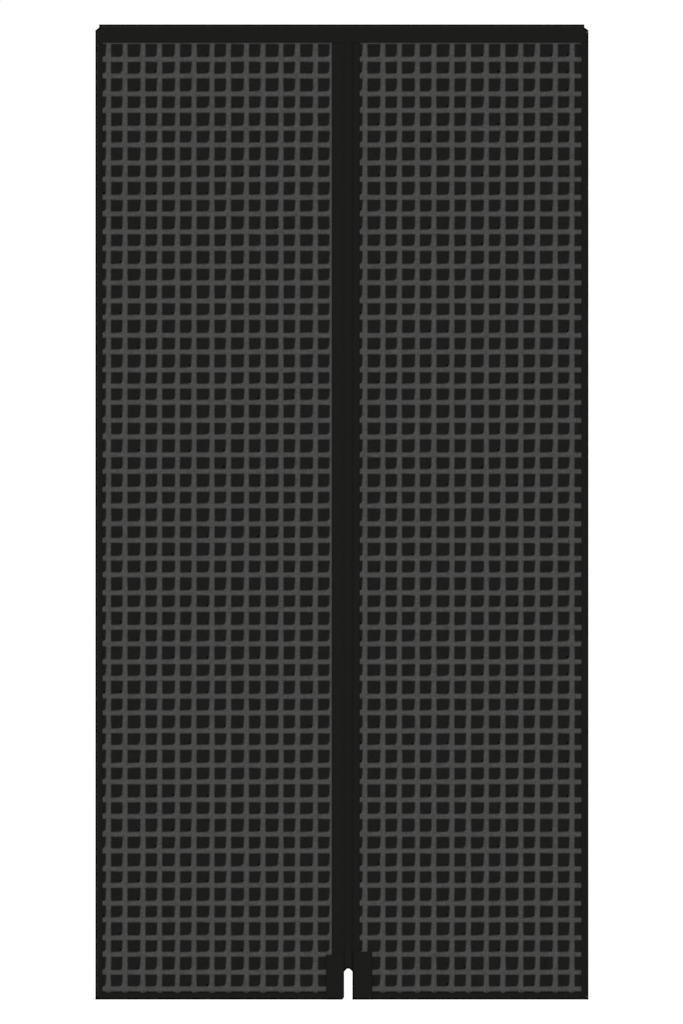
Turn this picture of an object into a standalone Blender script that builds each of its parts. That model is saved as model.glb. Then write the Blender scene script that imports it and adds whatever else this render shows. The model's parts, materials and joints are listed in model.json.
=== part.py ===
"""Magnetic insect screen for a door: two net wings that hang from one header.

The wings close in a lapped seam. The left closing strip lies in front of the right one, and bar
magnets in both pull them together. Metres, +Z up. The front faces -Y, and the wall that the hook
strips are stuck to is the plane Y = 0. The origin is the middle of the header's hook strip there.
"""

import math

import bmesh
import bpy
from mathutils import Matrix, Vector

# Overall size
SCREEN_WIDTH = 1.111
SCREEN_HEIGHT = 2.200

# Cloth and clearance
CLEAR = 0.0003
NET_THICKNESS = 0.0006
TAPE_PLY = 0.0006
HEADER_PLY = 0.0008
FOLD_FLAT = 0.0002
ARC_STEPS = 4

# Header and its cut corners
HEADER_HEIGHT = 0.0384
CORNER_STEP = 0.0068
NET_BELOW_CORNERS = 0.004

# Tapes round the edges
BINDING_WIDTH = 0.0147
HEM_HEIGHT = 0.0136

# Lapped seam, with the slot that it leaves open at the foot
SEAM_OFFSET = 0.0143
SLOT_WIDTH = 0.0193
SLOT_HEIGHT = 0.0691
SLOT_FLAT = 0.0059
FOOT_CHAMFER = 0.0040
LEFT_STRIP_WIDTH = 0.0277
RIGHT_STRIP_WIDTH = 0.0160
SEAM_WEB = 0.0010

# Magnets in the seam
MAGNET_PAIRS = 13
MAGNET_WIDTH = 0.012
MAGNET_LENGTH = 0.025
MAGNET_THICKNESS = 0.0015
MAGNET_END_MARGIN = 0.010
POCKET_FLOOR = 0.004

# Lattice of the net: every second strand is raised on the wall
STRAND_PITCH = 0.0389
STRAND_WIDTH = 0.0108
STRAND_RELIEF = 0.0005
STRANDS_PER_RIDGE = 2
LEFT_FIRST_STRAND = 0.0131
RIGHT_FIRST_STRAND = 0.0128
TOP_FIRST_STRAND = 0.0390

# Corner patches and the plates behind them
LEFT_PATCH_WIDTH = 0.0403
LEFT_PATCH_HEIGHT = 0.1005
RIGHT_PATCH_WIDTH = 0.0441
RIGHT_PATCH_HEIGHT = 0.1073
PATCH_PLY = 0.0007
PATCH_RIM = 0.0012
PLATE_THICKNESS = 0.0015
PLATE_HEIGHT = 0.080
PLATE_SIDE_MARGIN = 0.004

# Bars in the hems
HEM_BARS = 3
HEM_BAR_LENGTH = 0.130
HEM_BAR_HEIGHT = 0.006
HEM_BAR_THICKNESS = 0.0015
HEM_SLOPE = 0.0012
HEM_ROUNDING = 0.0012

# Hook and loop tape
HEADER_FASTENER_HEIGHT = 0.025
HEADER_FASTENER_MARGIN = 0.010
SIDE_FASTENER_WIDTH = 0.010
SIDE_FASTENER_MARGIN = 0.012
LOOP_THICKNESS = 0.0015
HOOK_THICKNESS = 0.0015

# Edges of hard pieces
METAL_BEVEL = 0.0003

# Places along Z
TOP = HEADER_HEIGHT / 2
BOTTOM = TOP - SCREEN_HEIGHT
HEADER_FOOT = TOP - HEADER_HEIGHT
NET_TOP = TOP - 2 * CORNER_STEP - NET_BELOW_CORNERS
HEM_TOP = BOTTOM + HEM_HEIGHT
HEM_BAR_TOP = BOTTOM + TAPE_PLY + CLEAR + HEM_BAR_HEIGHT
NET_FOOT = HEM_BAR_TOP + CLEAR
SLOT_TOP = BOTTOM + SLOT_HEIGHT

# Places along X
LEFT = -SCREEN_WIDTH / 2
RIGHT = SCREEN_WIDTH / 2
SLOT_LEFT = SEAM_OFFSET - SLOT_WIDTH / 2
SLOT_RIGHT = SEAM_OFFSET + SLOT_WIDTH / 2
STRIP_LEFT = SLOT_LEFT - LEFT_STRIP_WIDTH
STRIP_RIGHT = SLOT_RIGHT + RIGHT_STRIP_WIDTH

# Half thicknesses about the net's plane, and that plane's place along Y
CHANNEL_HALF = NET_THICKNESS / 2 + CLEAR
TAPE_HALF = CHANNEL_HALF + TAPE_PLY
HEADER_INNER_HALF = CLEAR / 2 + TAPE_PLY + CLEAR
HEADER_HALF = max(HEADER_INNER_HALF, CHANNEL_HALF) + HEADER_PLY
FLAP_THICKNESS = 2 * TAPE_PLY + MAGNET_THICKNESS + 2 * CLEAR
NET_Y = -(HEADER_HALF + CLEAR + LOOP_THICKNESS + CLEAR + HOOK_THICKNESS)

# How far cutters reach past what they cut, and how near a point counts as on an edge
OVERREACH = 0.002
ON_EDGE = 0.00003


def clear_scene():
    """Remove the objects that a new file starts with."""
    for thing in list(bpy.data.objects):
        bpy.data.objects.remove(thing, do_unlink=True)


def make_material(name, colour, roughness, metallic=0.0):
    """A plain Principled material with a linear colour."""
    material = bpy.data.materials.new(name)
    material.use_nodes = True
    shader = material.node_tree.nodes["Principled BSDF"]
    shader.inputs["Base Color"].default_value = (*colour, 1.0)
    shader.inputs["Roughness"].default_value = roughness
    shader.inputs["Metallic"].default_value = metallic
    return material


def make_parent(name):
    """An empty at the origin that carries the pieces."""
    parent = bpy.data.objects.new(name, None)
    bpy.context.collection.objects.link(parent)
    return parent


def add_piece(name, bm, parent, materials, location=(0, 0, 0)):
    """Turn a bmesh into a named object under its parent."""
    bmesh.ops.recalc_face_normals(bm, faces=bm.faces)
    mesh = bpy.data.meshes.new(name)
    bm.to_mesh(mesh)
    bm.free()
    for material in materials:
        mesh.materials.append(material)
    piece = bpy.data.objects.new(name, mesh)
    piece.location = location
    piece.parent = parent
    bpy.context.collection.objects.link(piece)
    return piece


def rounded_outline(corners):
    """Points round a closed outline, from corners of (across, up, radius)."""
    points = []
    for i, (across, up, radius) in enumerate(corners):
        corner = Vector((across, up))
        if radius == 0:
            points.append(corner)
            continue
        before = (Vector(corners[i - 1][:2]) - corner).normalized()
        after = (Vector(corners[(i + 1) % len(corners)][:2]) - corner).normalized()
        half = before.angle(after) / 2
        centre = corner + (before + after).normalized() * (radius / math.sin(half))
        start = corner + before * (radius / math.tan(half)) - centre
        turn = start.angle_signed(corner + after * (radius / math.tan(half)) - centre)
        for step in range(ARC_STEPS + 1):
            spoke = start.copy()
            spoke.rotate(Matrix.Rotation(-turn * step / ARC_STEPS, 2))
            points.append(centre + spoke)
    return points


def prism(outline, axis, start, end):
    """A bmesh of an outline drawn out along an axis, from start to end.

    The outline is (x, y) for an axis along Z, (y, z) along X and (x, z) along Y.
    """
    places = {
        "X": lambda across, up: (start, across, up),
        "Y": lambda across, up: (across, start, up),
        "Z": lambda across, up: (across, up, start),
    }
    way = {"X": Vector((1, 0, 0)), "Y": Vector((0, 1, 0)), "Z": Vector((0, 0, 1))}[axis]
    bm = bmesh.new()
    face = bm.faces.new([bm.verts.new(places[axis](*point[:2])) for point in outline])
    drawn = bmesh.ops.extrude_face_region(bm, geom=[face])["geom"]
    moved = [v for v in drawn if isinstance(v, bmesh.types.BMVert)]
    bmesh.ops.translate(bm, verts=moved, vec=way * (end - start))
    return bm


def block(name, low, high, parent, material, bevel=0.0):
    """A box between two corners, placed by its location, with its edges eased."""
    low, high = Vector(low), Vector(high)
    bm = bmesh.new()
    bmesh.ops.create_cube(bm, size=1.0)
    bmesh.ops.scale(bm, vec=high - low, verts=bm.verts)
    if bevel:
        bmesh.ops.bevel(bm, geom=bm.edges, offset=bevel, segments=1, affect="EDGES")
    return add_piece(name, bm, parent, [material], (low + high) / 2)


def cut(piece, name, bm):
    """Cut a shape out of a piece with a hidden cutter."""
    cutter = add_piece(name, bm, piece.parent, [])
    cutter.hide_render = True
    cutter.display_type = "WIRE"
    boolean = piece.modifiers.new(name, "BOOLEAN")
    boolean.operation = "DIFFERENCE"
    boolean.solver = "EXACT"
    boolean.object = cutter


def box_outline(left, bottom, right, top):
    """The corners of a rectangle."""
    return [(left, bottom), (right, bottom), (right, top), (left, top)]


def folded_outline(mouth, fold, middle, half, ply):
    """The section of a tape folded over an edge: its mouth is open and its fold is round."""
    inward = math.copysign(ply, mouth - fold)
    inner = half - ply
    outer_radius, inner_radius = half - FOLD_FLAT / 2, inner - FOLD_FLAT / 2
    return rounded_outline([
        (mouth, middle - half, 0),
        (fold, middle - half, outer_radius),
        (fold, middle + half, outer_radius),
        (mouth, middle + half, 0),
        (mouth, middle + inner, 0),
        (fold + inward, middle + inner, inner_radius),
        (fold + inward, middle - inner, inner_radius),
        (mouth, middle - inner, 0),
    ])


def swapped(outline):
    """The outline with its two directions exchanged."""
    return [(up, across) for across, up in outline]


def header_tape(parent, material):
    """The heading tape, folded over the top, with a step and a chamfer at each end."""
    section = swapped(folded_outline(HEADER_FOOT, TOP, NET_Y, HEADER_HALF, HEADER_PLY))
    header = add_piece("header_tape", prism(section, "X", LEFT, RIGHT), parent, [material])
    for name, edge, way in (("left", LEFT, 1), ("right", RIGHT, -1)):
        outline = [
            (edge - way * OVERREACH, TOP + OVERREACH),
            (edge + way * CORNER_STEP, TOP + OVERREACH),
            (edge + way * CORNER_STEP, TOP - CORNER_STEP),
            (edge, TOP - 2 * CORNER_STEP),
            (edge - way * OVERREACH, TOP - 2 * CORNER_STEP),
        ]
        front, back = NET_Y - HEADER_HALF - OVERREACH, NET_Y + HEADER_HALF + OVERREACH
        cut(header, f"{name}_corner_cutter", prism(outline, "Y", front, back))


def side_binding(side, edge, way, parent, material):
    """The tape round one outer edge, from the foot up to the header."""
    section = folded_outline(edge + way * BINDING_WIDTH, edge, NET_Y, TAPE_HALF, TAPE_PLY)
    bm = prism(section, "Z", BOTTOM, HEADER_FOOT - CLEAR)
    add_piece(f"{side}_side_binding", bm, parent, [material])


def bottom_hem(side, start, end, parent, material):
    """The tape round one wing's lower edge, which swells at the back to take the bars."""
    front, back = NET_Y - TAPE_HALF, NET_Y + TAPE_HALF
    inner_front, inner_back = NET_Y - CHANNEL_HALF, NET_Y + CHANNEL_HALF
    swell_inner = inner_front + HEM_BAR_THICKNESS + 2 * CLEAR
    swell = swell_inner + TAPE_PLY
    shoulder = HEM_BAR_TOP + CLEAR
    section = rounded_outline([
        (front, HEM_TOP, 0),
        (front, BOTTOM, HEM_ROUNDING),
        (swell, BOTTOM, HEM_ROUNDING),
        (swell, shoulder, 0),
        (back, shoulder + HEM_SLOPE, 0),
        (back, HEM_TOP, 0),
        (inner_back, HEM_TOP, 0),
        (inner_back, shoulder + HEM_SLOPE, 0),
        (swell_inner, shoulder, 0),
        (swell_inner, BOTTOM + TAPE_PLY, 0),
        (inner_front, BOTTOM + TAPE_PLY, 0),
        (inner_front, HEM_TOP, 0),
    ])
    add_piece(f"{side}_bottom_hem", prism(section, "X", start, end), parent, [material])


def hem_bars(side, start, end, parent, material):
    """Flat steel bars spread along one hem."""
    front = NET_Y - CHANNEL_HALF + CLEAR
    share = (end - start) / HEM_BARS
    for number in range(HEM_BARS):
        middle = start + share * (number + 0.5)
        low = (middle - HEM_BAR_LENGTH / 2, front, HEM_BAR_TOP - HEM_BAR_HEIGHT)
        high = (middle + HEM_BAR_LENGTH / 2, front + HEM_BAR_THICKNESS, HEM_BAR_TOP)
        block(f"{side}_hem_weight_{number + 1}", low, high, parent, material, METAL_BEVEL)


def slot_outline():
    """The slot between the wings: its flat-topped arch, and the left wing's cut foot corner."""
    shoulder = SLOT_TOP - (SLOT_WIDTH - SLOT_FLAT) / 2
    return [
        (SLOT_LEFT - FOOT_CHAMFER - OVERREACH, BOTTOM - OVERREACH),
        (SLOT_RIGHT, BOTTOM - OVERREACH),
        (SLOT_RIGHT, shoulder),
        (SEAM_OFFSET + SLOT_FLAT / 2, SLOT_TOP),
        (SEAM_OFFSET - SLOT_FLAT / 2, SLOT_TOP),
        (SLOT_LEFT, shoulder),
        (SLOT_LEFT, BOTTOM + FOOT_CHAMFER),
    ]


def closing_strip(side, way, channel_mouth, channel_end, tip, parent, material):
    """One tape of the seam: a channel on the net's edge, then a flap that holds the magnets.

    way is -1 where the flap lies in front of the net's plane and 1 where it lies behind it.
    """
    lap = NET_Y + way * CLEAR / 2
    outer = lap + way * FLAP_THICKNESS
    lap_side, outer_side = NET_Y - way * TAPE_HALF, NET_Y + way * TAPE_HALF
    toward_tip = math.copysign(1, tip - channel_end)
    ease = channel_end + toward_tip * abs(outer - outer_side)
    tip_radius = (FLAP_THICKNESS - FOLD_FLAT) / 2
    section = rounded_outline([
        (channel_mouth, outer_side, 0),
        (channel_end, outer_side, 0),
        (ease, outer, 0),
        (tip, outer, tip_radius),
        (tip, lap, tip_radius),
        (channel_end, lap, 0),
        (channel_end, lap_side, 0),
        (channel_mouth, lap_side, 0),
    ])
    strip = add_piece(f"{side}_closing_strip", prism(section, "Z", BOTTOM, NET_TOP), parent, [material])

    top = NET_TOP + OVERREACH
    far = FLAP_THICKNESS + OVERREACH
    channel = box_outline(
        channel_mouth - toward_tip * OVERREACH, NET_Y - CHANNEL_HALF,
        channel_end - toward_tip * SEAM_WEB, NET_Y + CHANNEL_HALF,
    )
    cut(strip, f"{side}_channel_cutter", prism(channel, "Z", BOTTOM - OVERREACH, top))

    inner_ply, outer_ply = lap + way * TAPE_PLY, outer - way * TAPE_PLY
    half = MAGNET_WIDTH / 2 + CLEAR
    pocket = box_outline(SEAM_OFFSET - half, inner_ply, SEAM_OFFSET + half, outer_ply)
    cut(strip, f"{side}_pocket_cutter", prism(pocket, "Z", SLOT_TOP + POCKET_FLOOR, top))

    over_tab = box_outline(
        channel_mouth - toward_tip * OVERREACH, inner_ply,
        tip + toward_tip * OVERREACH, lap + way * far,
    )
    cut(strip, f"{side}_over_tab_cutter", prism(over_tab, "Z", HEADER_FOOT - CLEAR, top))
    beside_tab = box_outline(
        channel_mouth - toward_tip * OVERREACH, NET_Y - far,
        channel_end + toward_tip * CLEAR, NET_Y + far,
    )
    cut(strip, f"{side}_beside_tab_cutter", prism(beside_tab, "Z", HEADER_FOOT - CLEAR, top))
    slot = prism(slot_outline(), "Y", NET_Y - far, NET_Y + far)
    cut(strip, f"{side}_slot_cutter", slot)


def magnets(side, way, parent, material):
    """The row of bar magnets in one flap."""
    near = NET_Y + way * (CLEAR / 2 + TAPE_PLY + CLEAR)
    far = near + way * MAGNET_THICKNESS
    first = HEADER_FOOT - MAGNET_END_MARGIN - MAGNET_LENGTH / 2
    last = SLOT_TOP + POCKET_FLOOR + CLEAR + MAGNET_LENGTH / 2
    for number in range(MAGNET_PAIRS):
        middle = first + (last - first) * number / (MAGNET_PAIRS - 1)
        low = (SEAM_OFFSET - MAGNET_WIDTH / 2, min(near, far), middle - MAGNET_LENGTH / 2)
        high = (SEAM_OFFSET + MAGNET_WIDTH / 2, max(near, far), middle + MAGNET_LENGTH / 2)
        block(f"{side}_magnet_{number + 1:02d}", low, high, parent, material, METAL_BEVEL)


def corner_patch(side, left, right, height, parent, patch_material, plate_material):
    """A sewn square with turned-in edges at a wing's inner foot, and the steel plate behind it."""
    seat = NET_Y - TAPE_HALF - CLEAR
    pocket_front = seat - PLATE_THICKNESS - CLEAR
    front = pocket_front - PATCH_PLY
    low, high = (left, front, BOTTOM), (right, seat, BOTTOM + height)
    patch = block(f"{side}_corner_patch", low, high, parent, patch_material)
    start, end = left + PATCH_RIM, right - PATCH_RIM
    floor, ceiling = BOTTOM + PATCH_RIM, BOTTOM + height - PATCH_RIM
    hollow = [(start, floor), (end, floor), (end, ceiling), (start, ceiling)]
    if side == "left":
        chamfer = FOOT_CHAMFER - (2 - math.sqrt(2)) * PATCH_RIM
        hollow[1:2] = [(end - chamfer, floor), (end, floor + chamfer)]
        slot = prism(slot_outline(), "Y", front - OVERREACH, seat + OVERREACH)
        cut(patch, f"{side}_patch_slot_cutter", slot)
    cut(patch, f"{side}_patch_cutter", prism(hollow, "Y", pocket_front, seat + OVERREACH))

    margin = PATCH_RIM + PLATE_SIDE_MARGIN
    foot = BOTTOM + PATCH_RIM + CLEAR
    low = (left + margin, seat - PLATE_THICKNESS, foot)
    high = (right - margin, seat, foot + PLATE_HEIGHT)
    block(f"{side}_corner_weight", low, high, parent, plate_material, METAL_BEVEL)


def ridge_bands(start, end, first, along):
    """Where raised strands lie between start and end, as pairs of edges.

    first is the first strand's distance from start, and along is 1 upwards or -1 downwards.
    """
    bands = []
    middle = start + along * first
    while (end - middle) * along > -STRAND_WIDTH / 2:
        low, high = middle - STRAND_WIDTH / 2, middle + STRAND_WIDTH / 2
        bands.append((max(low, min(start, end)), min(high, max(start, end))))
        middle += along * STRAND_PITCH * STRANDS_PER_RIDGE
    return bands


def mesh_panel(side, net_left, net_right, window_left, window_right, first, parent, materials):
    """One wing's net: a thin wall whose strands stand up on the front inside the tapes."""
    window_top, window_foot = HEADER_FOOT - CLEAR, HEM_TOP + CLEAR
    upright = ridge_bands(window_left, window_right, first, 1)
    level = ridge_bands(window_top, window_foot, TOP_FIRST_STRAND - CLEAR, -1)
    front = NET_Y - NET_THICKNESS / 2

    bm = bmesh.new()
    bmesh.ops.create_grid(bm, x_segments=1, y_segments=1, size=0.5)
    size = (window_right - window_left, window_top - window_foot, 1)
    bmesh.ops.scale(bm, vec=size, verts=bm.verts)
    bmesh.ops.rotate(bm, matrix=Matrix.Rotation(math.pi / 2, 3, "X"), verts=bm.verts)
    middle = ((window_left + window_right) / 2, front, (window_top + window_foot) / 2)
    bmesh.ops.translate(bm, vec=middle, verts=bm.verts)
    for bands, normal in ((upright, Vector((1, 0, 0))), (level, Vector((0, 0, 1)))):
        for place in (edge for band in bands for edge in band):
            geom = bm.verts[:] + bm.edges[:] + bm.faces[:]
            bmesh.ops.bisect_plane(bm, geom=geom, plane_co=normal * place, plane_no=normal)

    def raised(face):
        x, _, z = face.calc_center_median()
        return any(a < x < b for a, b in upright) or any(a < z < b for a, b in level)

    strands = [face for face in bm.faces if raised(face)]
    strands += {edge for face in strands for edge in face.edges}
    drawn = bmesh.ops.extrude_face_region(bm, geom=strands)["geom"]
    moved = [v for v in drawn if isinstance(v, bmesh.types.BMVert)]
    bmesh.ops.translate(bm, verts=moved, vec=(0, -STRAND_RELIEF, 0))
    for face in bm.faces:
        face.material_index = int(any(v.co.y < front - STRAND_RELIEF / 2 for v in face.verts))

    rim = [edge for edge in bm.edges if edge.is_boundary]
    outward = bmesh.ops.extrude_edge_only(bm, edges=rim)["geom"]
    for vert in (v for v in outward if isinstance(v, bmesh.types.BMVert)):
        at_side = min(vert.co.x - window_left, window_right - vert.co.x) < ON_EDGE
        at_end = min(vert.co.z - window_foot, window_top - vert.co.z) < ON_EDGE
        if at_side:
            vert.co.x = net_left if vert.co.x < middle[0] else net_right
        if at_end:
            vert.co.z = NET_FOOT if vert.co.z < middle[2] else NET_TOP
    rim = [edge for edge in bm.edges if edge.is_boundary]
    backward = bmesh.ops.extrude_edge_only(bm, edges=rim)["geom"]
    moved = [v for v in backward if isinstance(v, bmesh.types.BMVert)]
    bmesh.ops.translate(bm, verts=moved, vec=(0, NET_THICKNESS, 0))
    rim = [edge for edge in bm.edges if edge.is_boundary]
    bmesh.ops.holes_fill(bm, edges=rim, sides=0)
    add_piece(f"{side}_mesh_panel", bm, parent, materials)


def fastener_strips(parent, loop_material, hook_material):
    """Loop tape on the back of the header and bindings, and the hook tape that it grips."""
    hook_front = -HOOK_THICKNESS
    loop_back = hook_front - CLEAR
    across = SCREEN_WIDTH / 2 - HEADER_FASTENER_MARGIN
    up = HEADER_FASTENER_HEIGHT / 2
    header_back = NET_Y + HEADER_HALF + CLEAR
    block("header_loop_strip", (-across, header_back, -up), (across, loop_back, up), parent, loop_material)
    block("header_hook_strip", (-across, hook_front, -up), (across, 0, up), parent, hook_material)

    binding_back = NET_Y + TAPE_HALF + CLEAR
    foot, top = BOTTOM + SIDE_FASTENER_MARGIN, HEADER_FOOT - SIDE_FASTENER_MARGIN
    for side, middle in (("left", LEFT + BINDING_WIDTH / 2), ("right", RIGHT - BINDING_WIDTH / 2)):
        start, end = middle - SIDE_FASTENER_WIDTH / 2, middle + SIDE_FASTENER_WIDTH / 2
        low, high = (start, binding_back, foot), (end, loop_back, top)
        block(f"{side}_loop_strip", low, high, parent, loop_material)
        low, high = (start, hook_front, foot), (end, 0, top)
        block(f"{side}_hook_strip", low, high, parent, hook_material)


def build():
    """Model every piece of the screen."""
    clear_scene()
    tape = make_material("black_tape", (0.0124, 0.0124, 0.0110), 0.9)
    net = make_material("black_net", (0.0124, 0.0124, 0.0110), 0.95)
    strand = make_material("grey_strand", (0.0685, 0.0685, 0.0648), 0.9)
    magnet = make_material("nickel_magnet", (0.55, 0.54, 0.52), 0.3, 1.0)
    steel = make_material("zinc_steel", (0.45, 0.46, 0.47), 0.45, 1.0)
    loop = make_material("loop_tape", (0.0110, 0.0110, 0.0110), 1.0)
    hook = make_material("hook_tape", (0.0180, 0.0180, 0.0180), 0.6)
    screen = make_parent("screen")
    header_tape(screen, tape)
    fastener_strips(screen, loop, hook)

    left_wing = make_parent("left_wing")
    left_wing.parent = screen
    inner, hem_start = LEFT + BINDING_WIDTH, LEFT + BINDING_WIDTH + CLEAR
    net_left = LEFT + TAPE_PLY + CLEAR
    net_right = SLOT_LEFT - SEAM_WEB - CLEAR
    side_binding("left", LEFT, 1, left_wing, tape)
    mesh_panel("left", net_left, net_right, inner + CLEAR, STRIP_LEFT - CLEAR,
               LEFT_FIRST_STRAND - CLEAR, left_wing, [net, strand])
    bottom_hem("left", hem_start, STRIP_LEFT - CLEAR, left_wing, tape)
    hem_bars("left", hem_start, STRIP_LEFT - CLEAR, left_wing, steel)
    closing_strip("left", -1, STRIP_LEFT, SLOT_LEFT, SLOT_RIGHT - CLEAR, left_wing, tape)
    magnets("left", -1, left_wing, magnet)
    corner_patch("left", SLOT_LEFT - LEFT_PATCH_WIDTH, SLOT_LEFT, LEFT_PATCH_HEIGHT,
                 left_wing, tape, steel)

    right_wing = make_parent("right_wing")
    right_wing.parent = screen
    inner, hem_end = RIGHT - BINDING_WIDTH, RIGHT - BINDING_WIDTH - CLEAR
    net_left = SLOT_RIGHT + SEAM_WEB + CLEAR
    net_right = RIGHT - TAPE_PLY - CLEAR
    side_binding("right", RIGHT, -1, right_wing, tape)
    mesh_panel("right", net_left, net_right, STRIP_RIGHT + CLEAR, inner - CLEAR,
               RIGHT_FIRST_STRAND - CLEAR, right_wing, [net, strand])
    bottom_hem("right", STRIP_RIGHT + CLEAR, hem_end, right_wing, tape)
    hem_bars("right", STRIP_RIGHT + CLEAR, hem_end, right_wing, steel)
    closing_strip("right", 1, STRIP_RIGHT, SLOT_RIGHT, SLOT_LEFT + CLEAR, right_wing, tape)
    magnets("right", 1, right_wing, magnet)
    corner_patch("right", SLOT_RIGHT, SLOT_RIGHT + RIGHT_PATCH_WIDTH, RIGHT_PATCH_HEIGHT,
                 right_wing, tape, steel)


build()
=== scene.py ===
"""Magnetic insect screen: the look of its cloth, cords, thread and metal round the fixed frame.

Every piece is modelled in metres where it hangs. The front faces -Y, and +Z is up.
"""

import json
import math
import random

import bmesh
import bpy
from bpy.props import FloatProperty, FloatVectorProperty, IntProperty, PointerProperty
from mathutils import Matrix, Vector, noise


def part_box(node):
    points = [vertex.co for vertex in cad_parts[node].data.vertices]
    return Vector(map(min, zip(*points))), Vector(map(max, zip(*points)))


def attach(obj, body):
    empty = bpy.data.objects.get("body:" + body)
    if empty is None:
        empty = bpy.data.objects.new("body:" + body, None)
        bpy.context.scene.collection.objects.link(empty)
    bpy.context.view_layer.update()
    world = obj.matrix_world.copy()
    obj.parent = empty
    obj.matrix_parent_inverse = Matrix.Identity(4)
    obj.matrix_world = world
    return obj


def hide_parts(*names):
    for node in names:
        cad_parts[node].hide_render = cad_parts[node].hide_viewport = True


bl_info = {
    "name": "Magnetic Insect Screen",
    "version": (1, 0, 0),
    "blender": (4, 5, 0),
    "location": "View3D > Sidebar > Screen",
    "description": "Models and finishes a two-wing insect screen with a magnetic seam",
    "category": "Object",
}

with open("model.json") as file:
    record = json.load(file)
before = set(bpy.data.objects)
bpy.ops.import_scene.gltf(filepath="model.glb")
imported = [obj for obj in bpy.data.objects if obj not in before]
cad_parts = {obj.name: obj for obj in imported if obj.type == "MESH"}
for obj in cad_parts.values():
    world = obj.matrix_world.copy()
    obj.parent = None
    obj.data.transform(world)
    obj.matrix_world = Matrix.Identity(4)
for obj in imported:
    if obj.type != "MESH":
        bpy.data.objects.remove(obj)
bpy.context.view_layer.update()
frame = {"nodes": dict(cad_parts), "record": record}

# The planes and edges of the solids that every piece lines up with
HEADER_LOW, HEADER_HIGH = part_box("header_tape")
LEFT, RIGHT, TOP = HEADER_LOW.x, HEADER_HIGH.x, HEADER_HIGH.z
HEADER_FOOT = HEADER_LOW.z
BINDING_LOW, BINDING_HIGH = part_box("left_side_binding")
BOTTOM = BINDING_LOW.z
NET_Y = (BINDING_LOW.y + BINDING_HIGH.y) / 2
SLOT_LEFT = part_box("left_corner_patch")[1].x
SLOT_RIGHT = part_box("right_corner_patch")[0].x
SEAM_MIDDLE = (SLOT_LEFT + SLOT_RIGHT) / 2
OPENING = frame["record"]["physics"]["openings"][0]["box_m"]
CLEAR = SLOT_RIGHT - OPENING[1][0]
SLOT_SHOULDER = OPENING[1][2] + CLEAR
SIDES = ("left", "right")


def plain(name, description, default, unit="NONE"):
    """A plain number that a user can change."""
    return FloatProperty(name=name, description=description, default=default, unit=unit)


def whole(name, description, default):
    """A whole number that a user can change."""
    return IntProperty(name=name, description=description, default=default)


def metres(name, description, default):
    """A length in metres that a user can change."""
    return plain(name, description, default, unit="LENGTH")


def watts(name, description, default):
    """A lamp's power that a user can change."""
    return plain(name, description, default, unit="POWER")


def tint(name, description, default):
    """A linear colour that a user can change."""
    return FloatVectorProperty(name=name, description=description, default=default, subtype="COLOR")


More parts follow.
